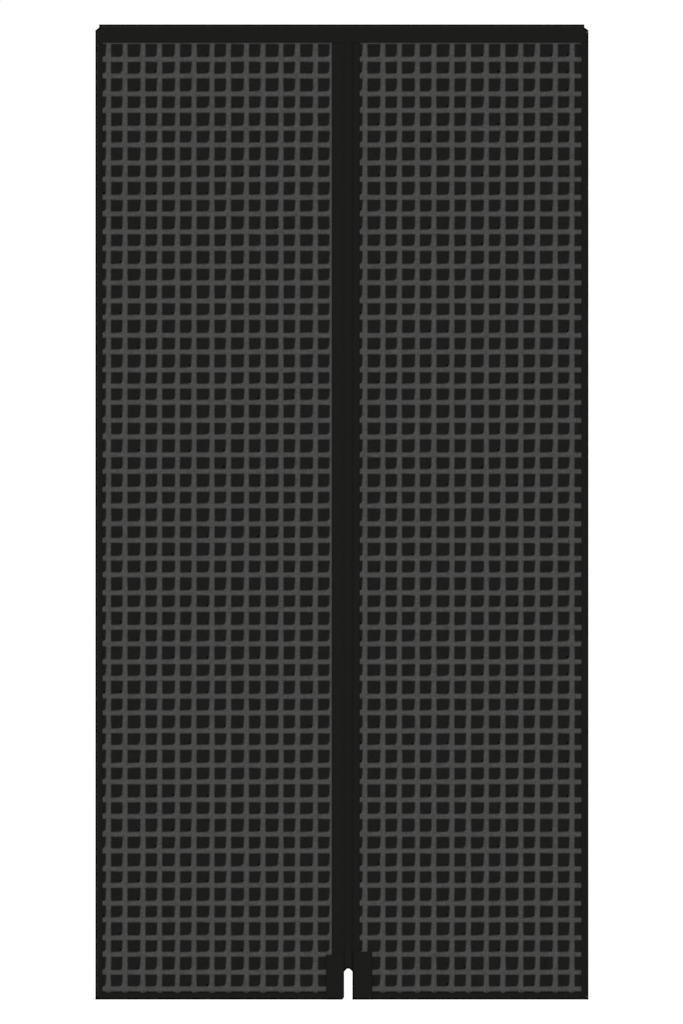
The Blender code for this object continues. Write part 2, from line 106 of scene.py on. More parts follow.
class ScreenSizes(bpy.types.PropertyGroup):
    """Sizes of the cloth, cords and thread."""

    tape_ply: metres("Tape ply", "Thickness of the binding, hem and seam tape", 0.0006)
    header_ply: metres("Header ply", "Thickness of the heading tape", 0.0008)
    patch_ply: metres("Patch ply", "Thickness of the corner patches", 0.0007)
    net_ply: metres("Net ply", "Thickness of the fine net between the strands", 0.00024)
    net_thread_pitch: metres("Net thread pitch", "Distance between the fine net's threads", 0.0013)
    strand_width: metres("Strand width", "Width of the grey lattice's strands", 0.0126)
    strand_depth: metres("Strand depth", "Thickness of the grey lattice's strands", 0.0010)
    strand_fade: metres("Strand fade", "Width of the rim in which a strand thins out to the net", 0.0033)
    rim_depth: plain("Rim depth", "Thickness of a strand's rim as a share of its middle", 0.45)
    column_pitch: metres("Column pitch", "Distance between upright strands", 0.03895)
    row_pitch: metres("Row pitch", "Distance between level strands", 0.038944)
    left_first_column: metres("Left first column",
        "From the left binding to the first upright strand", 0.01324)
    right_first_column: metres("Right first column",
        "From the seam to the right wing's first upright strand", 0.0131)
    first_row: metres("First row", "From the header down to the first whole level strand", 0.03904)
    pair_shift: metres("Pair shift", "How far strands lie from even spacing, by turns", 0.00076)
    join_row: whole("Join row", "The level strand where the net is joined", 19)
    join_take_up: metres("Join take-up",
        "How much shorter the squares are on each side of the join", 0.0014)
    ripple: metres("Ripple", "How far the net bellies out between the tapes", 0.0015)
    cord_width: metres("Cord width", "Width of the black cord round the outer edges", 0.0038)
    thin_cord_width: metres("Thin cord width", "Width of the cord along the right edge", 0.0026)
    side_proud: metres("Side proud", "How far the cord stands out from the screen's sides", 0.00103)
    end_proud: metres("End proud", "How far the cord stands out from the top and the foot", 0.00083)
    slot_proud: metres("Slot proud", "How far the cord stands into the foot slot", 0.00025)
    fold_inset: metres("Fold inset", "From an outer edge to the fold of the tape inside its cord", 0.0020)
    header_drop: metres("Header drop", "How far the header's cloth hangs over the tapes below it", 0.0023)
    left_shoulder: metres("Left shoulder", "Width cut from the header's upper left corner", 0.0074)
    right_shoulder: metres("Right shoulder", "Width cut from the header's upper right corner", 0.0082)
    shoulder_step: metres("Shoulder step", "Height of the upright step at the header's corners", 0.0059)
    shoulder_height: metres("Shoulder height", "Height of the step and the slant below it", 0.0126)
    slot_flat: metres("Slot flat", "Width of the flat top of the foot slot's arch", 0.0059)
    foot_chamfer: metres("Foot chamfer", "Cut corner at the left wing's inner foot", 0.0040)
    stitch_fill: plain("Stitch fill", "Length of a stitch as a share of the stitch pitch", 0.8)
    # The close stitches beside the cord are sewn in the lighter thread, a painted highlight at the left and
    # top.
    edge_stitch_fill: plain("Edge stitch fill", "The same for the close stitches beside the cord", 1.15)
    stitch_pitch: metres("Stitch pitch", "Distance between stitches", 0.0042)
    stitch_width: metres("Stitch width", "Width of the thread", 0.0010)
    row_margin: metres("Row margin", "From the inner edge of a tape to its row of stitches", 0.0028)
    edge_stitch_width: metres("Edge stitch width", "Width of the thread beside the cord", 0.0020)
    edge_stitch_inset: metres("Edge stitch inset",
        "From an outer edge to the row of stitches beside it", 0.0037)
    hole_corner: metres("Hole corner", "Radius of the corners of the net's squares", 0.0008)
    hole_lean: metres("Hole lean", "How far a square's lower right corner leans in, at most", 0.0022)
    hole_drift: metres("Hole drift", "How far the strands' edges stray from straight", 0.0005)
    knot_across: metres("Knot across", "From an upright strand's middle to the knot at its left", 0.0096)
    knot_above: metres("Knot above", "From a level strand's middle up to the knot over it", 0.0090)
    knot_share: plain("Knot share", "Share of the squares that show a knot", 0.6)
    big_knot_share: plain("Big knot share", "Share of the knots that are tied full size", 0.25)
    small_knot: plain("Small knot", "Size of the other knots as a share of the full size", 0.62)
    knot_width: metres("Knot width", "Width of the black knots in the net's corners", 0.0044)
    knot_height: metres("Knot height", "Height of the same knots", 0.0058)
    pucker: metres("Pucker", "How far the sewn tape stands up between its stitches", 0.00022)
    seed: whole("Seed", "Seed of every random draw", 11)


class ScreenColours(bpy.types.PropertyGroup):
    """Linear colours of the finishes."""

    tape: tint("Tape", "Black woven tape", (0.0109, 0.0111, 0.0098))
    tape_cool: tint("Cool tape", "Tape where it looks less warm", (0.0109, 0.0110, 0.0104))
    net: tint("Net", "Black net between the strands", (0.0117, 0.0119, 0.0104))
    net_cool: tint("Cool net", "Net where it looks less warm", (0.0119, 0.0119, 0.0121))
    strand: tint("Strand", "Grey lattice", (0.0668, 0.0674, 0.0626))
    strand_cool: tint("Cool strand", "Lattice where it looks less warm", (0.0664, 0.0666, 0.0672))
    cord: tint("Cord", "Black edge cord and knots", (0.0018, 0.0018, 0.0017))
    thread: tint("Thread", "Sewing thread of the tapes", (0.0125, 0.0125, 0.0115))
    # A lighter thread that is a painted highlight: it is sewn only beside the cord at the left and top,
    # where the light catches the edge.
    edge_thread: tint("Edge thread",
        "Thread that catches the light beside the cord", (0.0290, 0.0290, 0.0275))
    loop_pile: tint("Loop pile", "Brushed loop tape", (0.0105, 0.0105, 0.0105))
    hook_plastic: tint("Hook plastic", "Moulded hook tape", (0.0170, 0.0170, 0.0175))
    nickel: tint("Nickel", "Plated magnets", (0.55, 0.54, 0.52))
    zinc: tint("Zinc", "Plated steel weights", (0.45, 0.46, 0.47))
    floor: tint("Floor", "Pale floor", (0.12, 0.12, 0.12))


class ScreenStage(bpy.types.PropertyGroup):
    """Camera, lamps and floor."""

    lens: plain("Lens", "Focal length in millimetres", 200.0)
    view_height: metres("View height", "Height of the picture in the plane of the net", 2.31195)
    view_x: metres("View across", "Middle of the picture along X", -0.00096)
    view_z: metres("View up", "Middle of the picture along Z", -1.08083)
    floor_gap: metres("Floor gap", "From the foot of the screen down to the floor", 0.060)
    floor_glow: plain("Floor glow", "How bright the floor is to the camera of itself", 0.93)
    floor_bounce: plain("Floor bounce", "How bright the floor is to the cloth of itself", 0.32)
    world_level: plain("World level", "Light from all round on the screen", 0.825)
    key_power: watts("Key power", "Power of the lamp at the left", 273.0)
    fill_power: watts("Fill power", "Power of the lamp at the right", 131.0)
    back_power: watts("Back power", "Power of the lamp behind", 140.0)


# Shader helpers

def feed(tree, socket, value):
    """Give an input a value, or the output that feeds it."""
    if isinstance(value, bpy.types.NodeSocket):
        tree.links.new(value, socket)
    else:
        socket.default_value = value


def make_node(tree, kind, inputs=None, **settings):
    """Add a node, set its settings and feed its inputs."""
    made = tree.nodes.new(kind)
    for name, value in settings.items():
        setattr(made, name, value)
    for name, value in (inputs or {}).items():
        feed(tree, made.inputs[name], value)
    return made


def combine(tree, operation, first, second=0.0, third=0.0):
    """The output of a Math node."""
    return make_node(tree, "ShaderNodeMath", {0: first, 1: second, 2: third},
                     operation=operation).outputs[0]


def noise_value(tree, place, scale, detail, roughness=0.5):
    """A noise from 0 to 1."""
    return make_node(tree, "ShaderNodeTexNoise", {
        "Vector": place, "Scale": scale, "Detail": detail, "Roughness": roughness}).outputs["Fac"]


def map_range(tree, value, low=0.0, high=1.0, start=0.0, end=1.0):
    """A value's run from low to high turned into start to end, and held at both."""
    return make_node(tree, "ShaderNodeMapRange", {
        "Value": value, "From Min": low, "From Max": high, "To Min": start, "To Max": end}).outputs[0]


def mix_colours(tree, share, first, second):
    """The colour between two, where share is how much of the second shows."""
    mixed = make_node(tree, "ShaderNodeMix", data_type="RGBA")
    sockets = {socket.identifier: socket for socket in mixed.inputs}
    for name, value in (("Factor_Float", share), ("A_Color", first), ("B_Color", second)):
        feed(tree, sockets[name], value)
    return next(socket for socket in mixed.outputs if socket.identifier == "Result_Color")


def lift_colour(tree, colour, other, mask, amount):
    """Mix a colour towards a plain one where a mask is on."""
    return mix_colours(tree, combine(tree, "MULTIPLY", mask, amount), colour, (*other, 1))


def scale_colour(tree, colour, gain):
    """A colour made brighter or darker by a gain."""
    return make_node(tree, "ShaderNodeVectorMath", {0: colour, "Scale": gain},
                     operation="SCALE").outputs[0]


def new_group(name, inputs, outputs, kind="NodeSocketFloat"):
    """A node group that reads a place and the named inputs: its tree, what it is given, its result."""
    tree = bpy.data.node_groups.new(name, "ShaderNodeTree")
    tree.interface.new_socket(name="Place", in_out="INPUT", socket_type="NodeSocketVector")
    for socket, default in inputs.items():
        given = "NodeSocketColor" if isinstance(default, tuple) else "NodeSocketFloat"
        tree.interface.new_socket(name=socket, in_out="INPUT", socket_type=given).default_value = default
    for socket in outputs:
        tree.interface.new_socket(name=socket, in_out="OUTPUT", socket_type=kind)
    return tree, tree.nodes.new("NodeGroupInput").outputs, tree.nodes.new("NodeGroupOutput").inputs


def place_group(tree, name, inputs):
    """The outputs of a group that is placed in a material with its own values."""
    return make_node(tree, "ShaderNodeGroup", inputs, node_tree=bpy.data.node_groups[name]).outputs


def colour_clouds_group():
    """Broad clouds of a second colour, with a mottle over both."""
    grey = (0.5, 0.5, 0.5, 1)
    tree, given, result = new_group("colour_clouds", {
        "Colour": grey, "Cloud Colour": grey, "Cloud Scale": 14.0, "Mottle Scale": 180.0, "Mottle": 0.1,
    }, ["Colour"], "NodeSocketColor")
    clouds = noise_value(tree, given["Place"], given["Cloud Scale"], detail=2.0, roughness=0.6)
    cover = map_range(tree, clouds, low=0.50, high=0.62)
    tinted = mix_colours(tree, cover, given["Colour"], given["Cloud Colour"])
    mottle = noise_value(tree, given["Place"], given["Mottle Scale"], detail=3.0, roughness=0.55)
    swing = combine(tree, "MULTIPLY_ADD", mottle, 2.0, -1.0)
    gain = combine(tree, "MULTIPLY_ADD", swing, given["Mottle"], 1.0)
    feed(tree, result["Colour"], scale_colour(tree, tinted, gain))


def crossed_threads_group():
    """Threads that cross at right angles in the plane of the screen."""
    tree, given, result = new_group("crossed_threads", {"Pitch": 0.001}, ["Height", "Threads"])
    parts = make_node(tree, "ShaderNodeSeparateXYZ", {0: given["Place"]}).outputs
    turns = combine(tree, "DIVIDE", math.pi, given["Pitch"])
    waves = []
    for axis in ("X", "Z"):
        wave = combine(tree, "COSINE", combine(tree, "MULTIPLY", parts[axis], turns))
        waves.append(combine(tree, "POWER", combine(tree, "ABSOLUTE", wave), 3.0))
    height = combine(tree, "MAXIMUM", *waves)
    feed(tree, result["Height"], height)
    feed(tree, result["Threads"], map_range(tree, height, low=0.25, high=0.6))


def slanted_ribs_group():
    """Fine ribs that climb at a slant, as in twill tape or a wound cord."""
    tree, given, result = new_group("slanted_ribs", {"Pitch": 0.001, "Slant": 0.5, "Fuzz": 0.2}, ["Height"])
    parts = make_node(tree, "ShaderNodeSeparateXYZ", {0: given["Place"]}).outputs
    climb = combine(tree, "MULTIPLY_ADD", parts["X"], given["Slant"], parts["Z"])
    turns = combine(tree, "DIVIDE", 2 * math.pi, given["Pitch"])
    wave = combine(tree, "SINE", combine(tree, "MULTIPLY", climb, turns))
    fuzz = noise_value(tree, given["Place"], scale=2400.0, detail=2.0, roughness=0.6)
    height = combine(tree, "MULTIPLY_ADD", wave, 0.5, 0.5)
    rough = combine(tree, "MULTIPLY", fuzz, given["Fuzz"])
    feed(tree, result["Height"], combine(tree, "ADD", height, rough))


def streaks_group():
    """Light and dark streaks that run along the level and the upright yarns."""
    tree, given, result = new_group("streaks", {"Fine": 420.0, "Long": 45.0}, ["Swing"])
    noises = []
    for across, upward in (("Long", "Fine"), ("Fine", "Long")):
        scale = make_node(tree, "ShaderNodeCombineXYZ", {"X": given[across], "Z": given[upward]})
        drawn = make_node(tree, "ShaderNodeVectorMath", {0: given["Place"], 1: scale.outputs[0]},
                          operation="MULTIPLY")
        noises.append(noise_value(tree, drawn.outputs[0], scale=1.0, detail=1.0))
    swing = combine(tree, "SUBTRACT", combine(tree, "ADD", *noises), 1.0)
    feed(tree, result["Swing"], combine(tree, "MULTIPLY", swing, 3.0))


def flecks_group():
    """A sparse mask of small specks."""
    tree, given, result = new_group("flecks", {"Scale": 300.0, "Threshold": 0.7}, ["Mask"])
    specks = noise_value(tree, given["Place"], given["Scale"], detail=1.0)
    full = combine(tree, "ADD", given["Threshold"], 0.07)
    feed(tree, result["Mask"], map_range(tree, specks, given["Threshold"], full))


def new_material(name, values):
    """A new material's tree and the inputs of its Principled shader, with some set to plain values."""
    material = bpy.data.materials.new(name)
    material.use_nodes = True
    surface = material.node_tree.nodes["Principled BSDF"].inputs
    for socket, value in values.items():
        surface[socket].default_value = value
    return material.node_tree, surface


def object_place(tree):
    """Coordinates in metres on the piece."""
    return make_node(tree, "ShaderNodeTexCoord").outputs["Object"]


def clouded(tree, place, first, second, cloud_scale, mottle_scale, mottle):
    """A colour with clouds of a second one, and a mottle over both."""
    return place_group(tree, "colour_clouds", {
        "Place": place, "Colour": (*first, 1), "Cloud Colour": (*second, 1),
        "Cloud Scale": cloud_scale, "Mottle Scale": mottle_scale, "Mottle": mottle})["Colour"]


def raise_surface(tree, surface, height, distance, strength):
    """Drive the shader's normal from a height."""
    bump = make_node(tree, "ShaderNodeBump", {"Height": height, "Distance": distance, "Strength": strength})
    feed(tree, surface["Normal"], bump.outputs["Normal"])


def tape_finish(colours):
    """Matt black twill tape."""
    tree, surface = new_material("twill_tape", {"Roughness": 0.85, "Specular IOR Level": 0.03})
    place = object_place(tree)
    clouds = clouded(tree, place, colours.tape, colours.tape_cool,
                     cloud_scale=7.0, mottle_scale=700.0, mottle=0.10)
    ribs = place_group(tree, "slanted_ribs", {"Place": place, "Pitch": 0.0011, "Slant": 0.7, "Fuzz": 0.5})
    # Painted highlight: the tape is lifted towards the thread's colour on the raised crests of its twill
    # ribs.
    painted_rib_light = lift_colour(tree, clouds, colours.thread, ribs["Height"], amount=0.12)
    feed(tree, surface["Base Color"], painted_rib_light)
    raise_surface(tree, surface, ribs["Height"], distance=0.00012, strength=0.6)


def net_finish(colours, sizes):
    """Fine black net, closely knitted so that nothing shows through."""
    tree, surface = new_material("fine_black_net", {"Roughness": 0.9, "Specular IOR Level": 0.03})
    place = object_place(tree)
    clouds = clouded(tree, place, colours.net, colours.net_cool,
                     cloud_scale=11.0, mottle_scale=260.0, mottle=0.5)
    threads = place_group(tree, "crossed_threads", {"Place": place, "Pitch": sizes.net_thread_pitch})
    # Painted shade: the hollows between the knit's threads are mixed towards the black cord colour.
    painted_hollow_shade = combine(tree, "SUBTRACT", 1.0, threads["Threads"])
    feed(tree, surface["Base Color"], lift_colour(tree, clouds, colours.cord, painted_hollow_shade, amount=0.22))
    raise_surface(tree, surface, threads["Height"], distance=0.00018, strength=0.6)


def strand_finish(colours):
    """Grey lattice strands of flat woven yarn, which thin out to the net along their rims."""
    tree, surface = new_material("grey_strand", {"Roughness": 0.85, "Specular IOR Level": 0.03})
    place = object_place(tree)
    clouds = clouded(tree, place, colours.strand, colours.strand_cool,
                     cloud_scale=11.0, mottle_scale=210.0, mottle=0.32)
    threads = place_group(tree, "crossed_threads", {"Place": place, "Pitch": 0.0009})
    flecks = place_group(tree, "flecks", {"Place": place, "Scale": 330.0, "Threshold": 0.70})
    streaks = place_group(tree, "streaks", {"Place": place})
    gain = combine(tree, "MULTIPLY_ADD", streaks["Swing"], 0.25, 1.0)
    pits = lift_colour(tree, scale_colour(tree, clouds, gain), colours.net, flecks["Mask"], amount=0.55)
    rim = make_node(tree, "ShaderNodeAttribute", attribute_name="rim")
    feed(tree, surface["Base Color"], lift_colour(tree, pits, colours.net, rim.outputs["Fac"], amount=0.82))
    raise_surface(tree, surface, threads["Height"], distance=0.00012, strength=0.6)


def cord_finish(name, colour):
    """Thread wound closely round an edge, or twisted in a stitch."""
    tree, surface = new_material(name, {"Roughness": 0.9, "Specular IOR Level": 0.0})
    place = object_place(tree)
    darker = [0.8 * part for part in colour]
    clouds = clouded(tree, place, colour, darker, cloud_scale=60.0, mottle_scale=900.0, mottle=0.2)
    feed(tree, surface["Base Color"], clouds)
    ribs = place_group(tree, "slanted_ribs", {"Place": place, "Pitch": 0.0008, "Slant": 1.0, "Fuzz": 0.3})
    raise_surface(tree, surface, ribs["Height"], distance=0.00015, strength=0.8)


def pile_finish(colours):
    """Brushed loops."""
    tree, surface = new_material("loop_pile", {
        "Roughness": 1.0, "Specular IOR Level": 0.03, "Sheen Weight": 0.05, "Sheen Roughness": 0.5})
    place = object_place(tree)
    flecks = place_group(tree, "flecks", {"Place": place, "Scale": 1500.0, "Threshold": 0.5})["Mask"]
    clouds = clouded(tree, place, colours.loop_pile, colours.tape,
                     cloud_scale=40.0, mottle_scale=1100.0, mottle=0.35)
    # The pile's pale flecks only borrow the lighter thread's colour.
    feed(tree, surface["Base Color"], lift_colour(tree, clouds, colours.edge_thread, flecks, amount=0.35))
    raise_surface(tree, surface, flecks, distance=0.0005, strength=0.7)


def hook_finish(colours):
    """Moulded nylon with a smooth adhesive back."""
    tree, surface = new_material("hook_nylon", {"Specular IOR Level": 0.35})
    place = object_place(tree)
    clouds = clouded(tree, place, colours.hook_plastic, colours.loop_pile,
                     cloud_scale=30.0, mottle_scale=500.0, mottle=0.12)
    feed(tree, surface["Base Color"], clouds)
    smear = noise_value(tree, place, scale=90.0, detail=3.0)
    feed(tree, surface["Roughness"], map_range(tree, smear, low=0.3, high=0.7, start=0.42, end=0.62))
    raise_surface(tree, surface, smear, distance=0.0004, strength=0.4)


def metal_finish(name, colour, smoothest, roughest, grain_scale):
    """Plated metal with fine scratches and clouded gloss."""
    tree, surface = new_material(name, {"Metallic": 1.0})
    place = object_place(tree)
    darker = [0.88 * part for part in colour]
    clouds = clouded(tree, place, colour, darker, cloud_scale=120.0, mottle_scale=900.0, mottle=0.06)
    feed(tree, surface["Base Color"], clouds)
    stretched = make_node(tree, "ShaderNodeMapping", {"Vector": place, "Scale": (1.0, 1.0, 0.04)})
    grain = noise_value(tree, stretched.outputs[0], grain_scale, detail=3.0)
    gloss = map_range(tree, grain, low=0.3, high=0.7, start=smoothest, end=roughest)
    feed(tree, surface["Roughness"], gloss)
    raise_surface(tree, surface, grain, distance=0.00002, strength=0.5)
    return bpy.data.materials[name]


def any_ray(tree, *kinds):
    """1 for rays of the named kinds, and 0 for all others."""
    path = make_node(tree, "ShaderNodeLightPath").outputs
    found = path[kinds[0]]
    for kind in kinds[1:]:
        found = combine(tree, "MAXIMUM", found, path[kind])
    return found


# Mesh helpers

# Creases sharper than this stay hard
SHARP_ANGLE = math.radians(40)
# How close two places lie when they are the same
SAME = 1e-5
# A folded tape's flat runs are longer than this, and each end of a run is held this near its fold
FLAT_RUN = 0.004
FOLD_HOLD = 0.0005
# Where the net starts to lie flat beside its tapes, and its waves: share, turn across, turn up, start
RIPPLE_REACH = 0.11
RIPPLE_WAVES = ((0.5, 9.1, 2.3, 0.7), (0.3, -6.2, 3.7, 0.0))
# A stitch's or knot's thickness as a share of its thread's width or its strand's depth
STITCH_RISE = 0.7
KNOT_RISE = 1.2


def add_object(name, data):
    """Put an object with its data in the scene."""
    made = bpy.data.objects.new(name, data)
    bpy.context.scene.collection.objects.link(made)
    return made


def mesh_from(name, bm):
    """Turn a bmesh into a mesh."""
    mesh = bpy.data.meshes.new(name)
    bm.to_mesh(mesh)
    bm.free()
    return mesh


def finish_piece(name, bm, material, replaced=()):
    """Turn a bmesh into a smooth-shaded piece that rides on the screen's body."""
    bmesh.ops.recalc_face_normals(bm, faces=bm.faces)
    mesh = mesh_from(name, bm)
    mesh.shade_smooth()
    mesh.set_sharp_from_angle(angle=SHARP_ANGLE)
    mesh.materials.append(bpy.data.materials[material])
    piece = add_object(name, mesh)
    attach(piece, "root")
    if replaced:
        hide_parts(*replaced)
    return piece


def thicken(piece, ply):
    """Give a sheet its thickness, half on each side."""
    wall = piece.modifiers.new("ply", "SOLIDIFY")
    wall.thickness = ply
    wall.offset = 0.0
    wall.use_even_offset = True


def upright_grid(columns, rows, start, end, y):
    """A grid of squares in the plane of the screen, from one (x, z) corner to the other."""
    bm = bmesh.new()
    bmesh.ops.create_grid(bm, x_segments=columns, y_segments=rows, size=0.5)
    bmesh.ops.scale(bm, vec=(end[0] - start[0], end[1] - start[1], 1), verts=bm.verts)
    bmesh.ops.rotate(bm, matrix=Matrix.Rotation(math.pi / 2, 3, "X"), verts=bm.verts)
    middle = Vector(((start[0] + end[0]) / 2, y, (start[1] + end[1]) / 2))
    bmesh.ops.translate(bm, vec=middle, verts=bm.verts)
    return bm


def wire(bm, corners):
    """A line of edges through corners of (place, radius), rounded where the radius isn't zero."""
    verts = [bm.verts.new(place) for place, _ in corners]
    for first, second in zip(verts, verts[1:]):
        bm.edges.new((first, second))
    for vert, (_, radius) in zip(verts, corners):
        if radius:
            bmesh.ops.bevel(bm, geom=[vert], offset=radius, offset_type="OFFSET", segments=5,
                            profile=0.5, affect="VERTICES", clamp_overlap=True, material=-1)
    flats = [edge for edge in bm.edges if edge.calc_length() > FLAT_RUN]
    for edge in flats:
        for vert in edge.verts[:]:
            bmesh.utils.edge_split(edge, vert, FOLD_HOLD / edge.calc_length())
    bmesh.ops.subdivide_edges(bm, edges=flats, cuts=3)


def draw_out(bm, length, steps):
    """Draw the whole wire out along a vector in equal steps."""
    bmesh.ops.spin(bm, geom=bm.verts[:] + bm.edges[:], cent=(0, 0, 0), axis=(0, 0, 1),
                   dvec=Vector(length) / steps, angle=0, steps=steps)


def pull(bm, made, way):
    """Move the vertices that an extrusion made."""
    moved = [part for part in made["geom"] if isinstance(part, bmesh.types.BMVert)]
    bmesh.ops.translate(bm, verts=moved, vec=way)


def round_edges(bm, edges, offset, segments):
    """Round edges off."""
    bmesh.ops.bevel(bm, geom=edges, offset=offset, segments=segments, profile=0.5, affect="EDGES",
                    material=-1, clamp_overlap=True)


def cut_line(bm, place, normal, clear=False):
    """Cut the mesh along a plane, and clear what lies beyond it if asked."""
    bmesh.ops.bisect_plane(bm, geom=bm.verts[:] + bm.edges[:] + bm.faces[:], dist=1e-6,
                           plane_co=place, plane_no=normal, clear_outer=clear)


def carve(bm, outline):
    """Cut a convex outline of (x, z) corners, given clockwise from the front, out of a sheet."""
    planes = []
    for (x, z), (next_x, next_z) in zip(outline, outline[1:] + outline[:1]):
        planes.append((Vector((x, 0, z)), Vector((z - next_z, 0, next_x - x)).normalized()))
    for place, normal in planes:
        cut_line(bm, place, normal)
    inside = [face for face in bm.faces
              if all((face.calc_center_median() - place).dot(normal) < 0 for place, normal in planes)]
    bmesh.ops.delete(bm, geom=inside, context="FACES")


def slot_outline(sizes):
    """The foot slot, clockwise from the front, reaching a little past the foot."""
    top = SLOT_SHOULDER + (SLOT_RIGHT - SLOT_LEFT - sizes.slot_flat) / 2
    half = sizes.slot_flat / 2
    return [
        (SLOT_LEFT, BOTTOM - sizes.foot_chamfer), (SLOT_LEFT, SLOT_SHOULDER),
        (SEAM_MIDDLE - half, top), (SEAM_MIDDLE + half, top),
        (SLOT_RIGHT, SLOT_SHOULDER), (SLOT_RIGHT, BOTTOM - sizes.foot_chamfer),
    ]


def foot_corner_outline(sizes):
    """The left wing's cut foot corner, clockwise from the front."""
    cut = sizes.foot_chamfer
    return [(SLOT_LEFT - cut, BOTTOM), (SLOT_LEFT, BOTTOM + cut), (SLOT_LEFT + cut, BOTTOM - cut)]


def pucker(bm, rows, sizes, reach, turn=0):
    """Lift the cloth between stitches, most at the rows of (axis, place) where it is sewn.

    Each turn gives another pattern.
    """
    seed = sizes.seed + turn
    shift = Vector((seed * 3.1, seed * 1.7, 0))
    for vert in bm.verts:
        near = max(1 - abs(vert.co[axis] - place) / reach for axis, place in rows)
        if near > 0:
            wave = noise.noise(vert.co * 95 + shift) * 0.5 + 0.5
            vert.co.y += math.copysign(sizes.pucker * near * wave, vert.co.y - NET_Y)


def net_ripple(x, z, window, sizes):
    """How far the net bellies out at a place, fading to nothing at its tapes."""
    left, right, foot, top = window
    near = min(x - left, right - x, z - foot, top - z)
    fade = min(max(near / RIPPLE_REACH, 0.0), 1.0)
    fade = fade * fade * (3 - 2 * fade)
    wave = sum(share * math.sin(across * x + up * z + start) for share, across, up, start in RIPPLE_WAVES)
    return sizes.ripple * fade * (wave + 0.35 * noise.noise(Vector((x * 7, z * 5, sizes.seed))))


def swept_cord(bm, outline, width, front, back):
    """An oval cord along an outline of (x, z) corners, with the cloth on its right as it goes."""
    points = [Vector((x, 0, z)) for x, z in outline]
    steps = [(after - before).normalized() for before, after in zip(points, points[1:])]
    deep = Vector((0, (back - front) / 2, 0))
    rings = []
    for i, point in enumerate(points):
        last, following = steps[max(i - 1, 0)], steps[min(i, len(steps) - 1)]
        going = (last + following).normalized()
        across = Vector((going.z, 0, -going.x)) * (width / 2 / abs(going.dot(following)))
        matrix = Matrix((across, deep, going)).transposed().to_4x4()
        matrix.translation = point + across + Vector((0, (front + back) / 2, 0))
        at_end = i in (0, len(points) - 1)
        made = bmesh.ops.create_circle(bm, cap_ends=at_end, segments=14, radius=1, matrix=matrix)
        rings.append(list({edge for vert in made["verts"] for edge in vert.link_edges
                           if edge.other_vert(vert) in made["verts"]}))
    for first, second in zip(rings, rings[1:]):
        bmesh.ops.bridge_loops(bm, edges=first + second)


def stitch_shape(length, width, height, along):
    """One stitch at the origin, as a mesh."""
    size = {"X": (length, height, width), "Z": (width, height, length)}[along]
    bm = bmesh.new()
    scale = Matrix.Diagonal(Vector((*[part / 2 for part in size], 1)))
    turn = Matrix.Rotation(math.pi / 2, 4, "Y") if along == "X" else Matrix.Identity(4)
    bmesh.ops.create_uvsphere(bm, u_segments=6, v_segments=5, radius=1, matrix=scale @ turn)
    return mesh_from("stitch", bm)


def stamp(bm, shape, places):
    """Copy a small mesh to many places, and remove it."""
    for place in places:
        shape.transform(Matrix.Translation(place))
        bm.from_mesh(shape)
        shape.transform(Matrix.Translation(-place))
    bpy.data.meshes.remove(shape)


def stitch_row(bm, start, end, width, fill, sizes):
    """Sew a straight row of stitches from start to end, half sunk in the cloth.

    Fill is a stitch's length as a share of the distance between stitches.
    """
    start, end = Vector(start), Vector(end)
    along = "X" if abs(end.x - start.x) > abs(end.z - start.z) else "Z"
    count = max(int((end - start).length / sizes.stitch_pitch), 1)
    step = (end - start) / count
    shape = stitch_shape(step.length * fill, width, sizes.stitch_width * STITCH_RISE, along)
    stamp(bm, shape, [start + step * (i + 0.5) for i in range(count)])


def magnet_boxes(side):
    """The low and high corners of one flap's magnets."""
    return [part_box(name) for name in sorted(frame["nodes"]) if name.startswith(f"{side}_magnet")]


# Pieces

class SCREEN_OT_finishes(bpy.types.Operator):
    """Make every finish, and plate the magnets and weights"""

    bl_idname = "screen.finishes"
    bl_label = "Finishes"

    def execute(self, context):
        colours, sizes = context.scene.screen_colours, context.scene.screen_sizes
        colour_clouds_group()
        crossed_threads_group()
        slanted_ribs_group()
        streaks_group()
        flecks_group()
        tape_finish(colours)
        net_finish(colours, sizes)
        strand_finish(colours)
        cord_finish("edge_cord", colours.cord)
        cord_finish("sewing_thread", colours.thread)
        cord_finish("edge_thread", colours.edge_thread)
        pile_finish(colours)
        hook_finish(colours)
        nickel = metal_finish("nickel_plate", colours.nickel, smoothest=0.16, roughest=0.34,
                              grain_scale=900.0)
        zinc = metal_finish("zinc_plate", colours.zinc, smoothest=0.32, roughest=0.52,
                            grain_scale=700.0)
        for name, node in frame["nodes"].items():
            metal = nickel if "magnet" in name else zinc if "weight" in name else None
            if metal:
                for slot in node.material_slots:
                    slot.link = "OBJECT"
                    slot.material = metal
        return {"FINISHED"}


def strand_start(side, sizes):
    """Where a wing's evenly spaced strands would start: the first upright's x and the first level's z."""
    if side == "left":
        first_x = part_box("left_side_binding")[1].x + sizes.left_first_column
    else:
        first_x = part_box("right_closing_strip")[1].x + sizes.right_first_column
    return first_x, HEADER_FOOT - sizes.first_row


def column_shift(side, number, sizes):
    """How far an upright strand lies to the right of its even place: strands are nearer by turns."""
    near = sizes.pair_shift if side == "left" else -sizes.pair_shift
    return near if number % 2 == 0 else -near


def row_shift(number, sizes):
    """How far a level strand lies above its even place. The turns change over where the net is joined."""
    joined = (number >= sizes.join_row) + (number > sizes.join_row)
    near = sizes.pair_shift * (1 - joined)
    return joined * sizes.join_take_up - (near if number % 2 == 0 else -near)


def net_window(side):
    """The opening between the tapes in front of one wing's net: left, right, foot and top."""
    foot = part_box(f"{side}_bottom_hem")[1].z
    if side == "left":
        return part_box("left_side_binding")[1].x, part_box("left_closing_strip")[0].x, foot, HEADER_FOOT
    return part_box("right_closing_strip")[1].x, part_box("right_side_binding")[0].x, foot, HEADER_FOOT


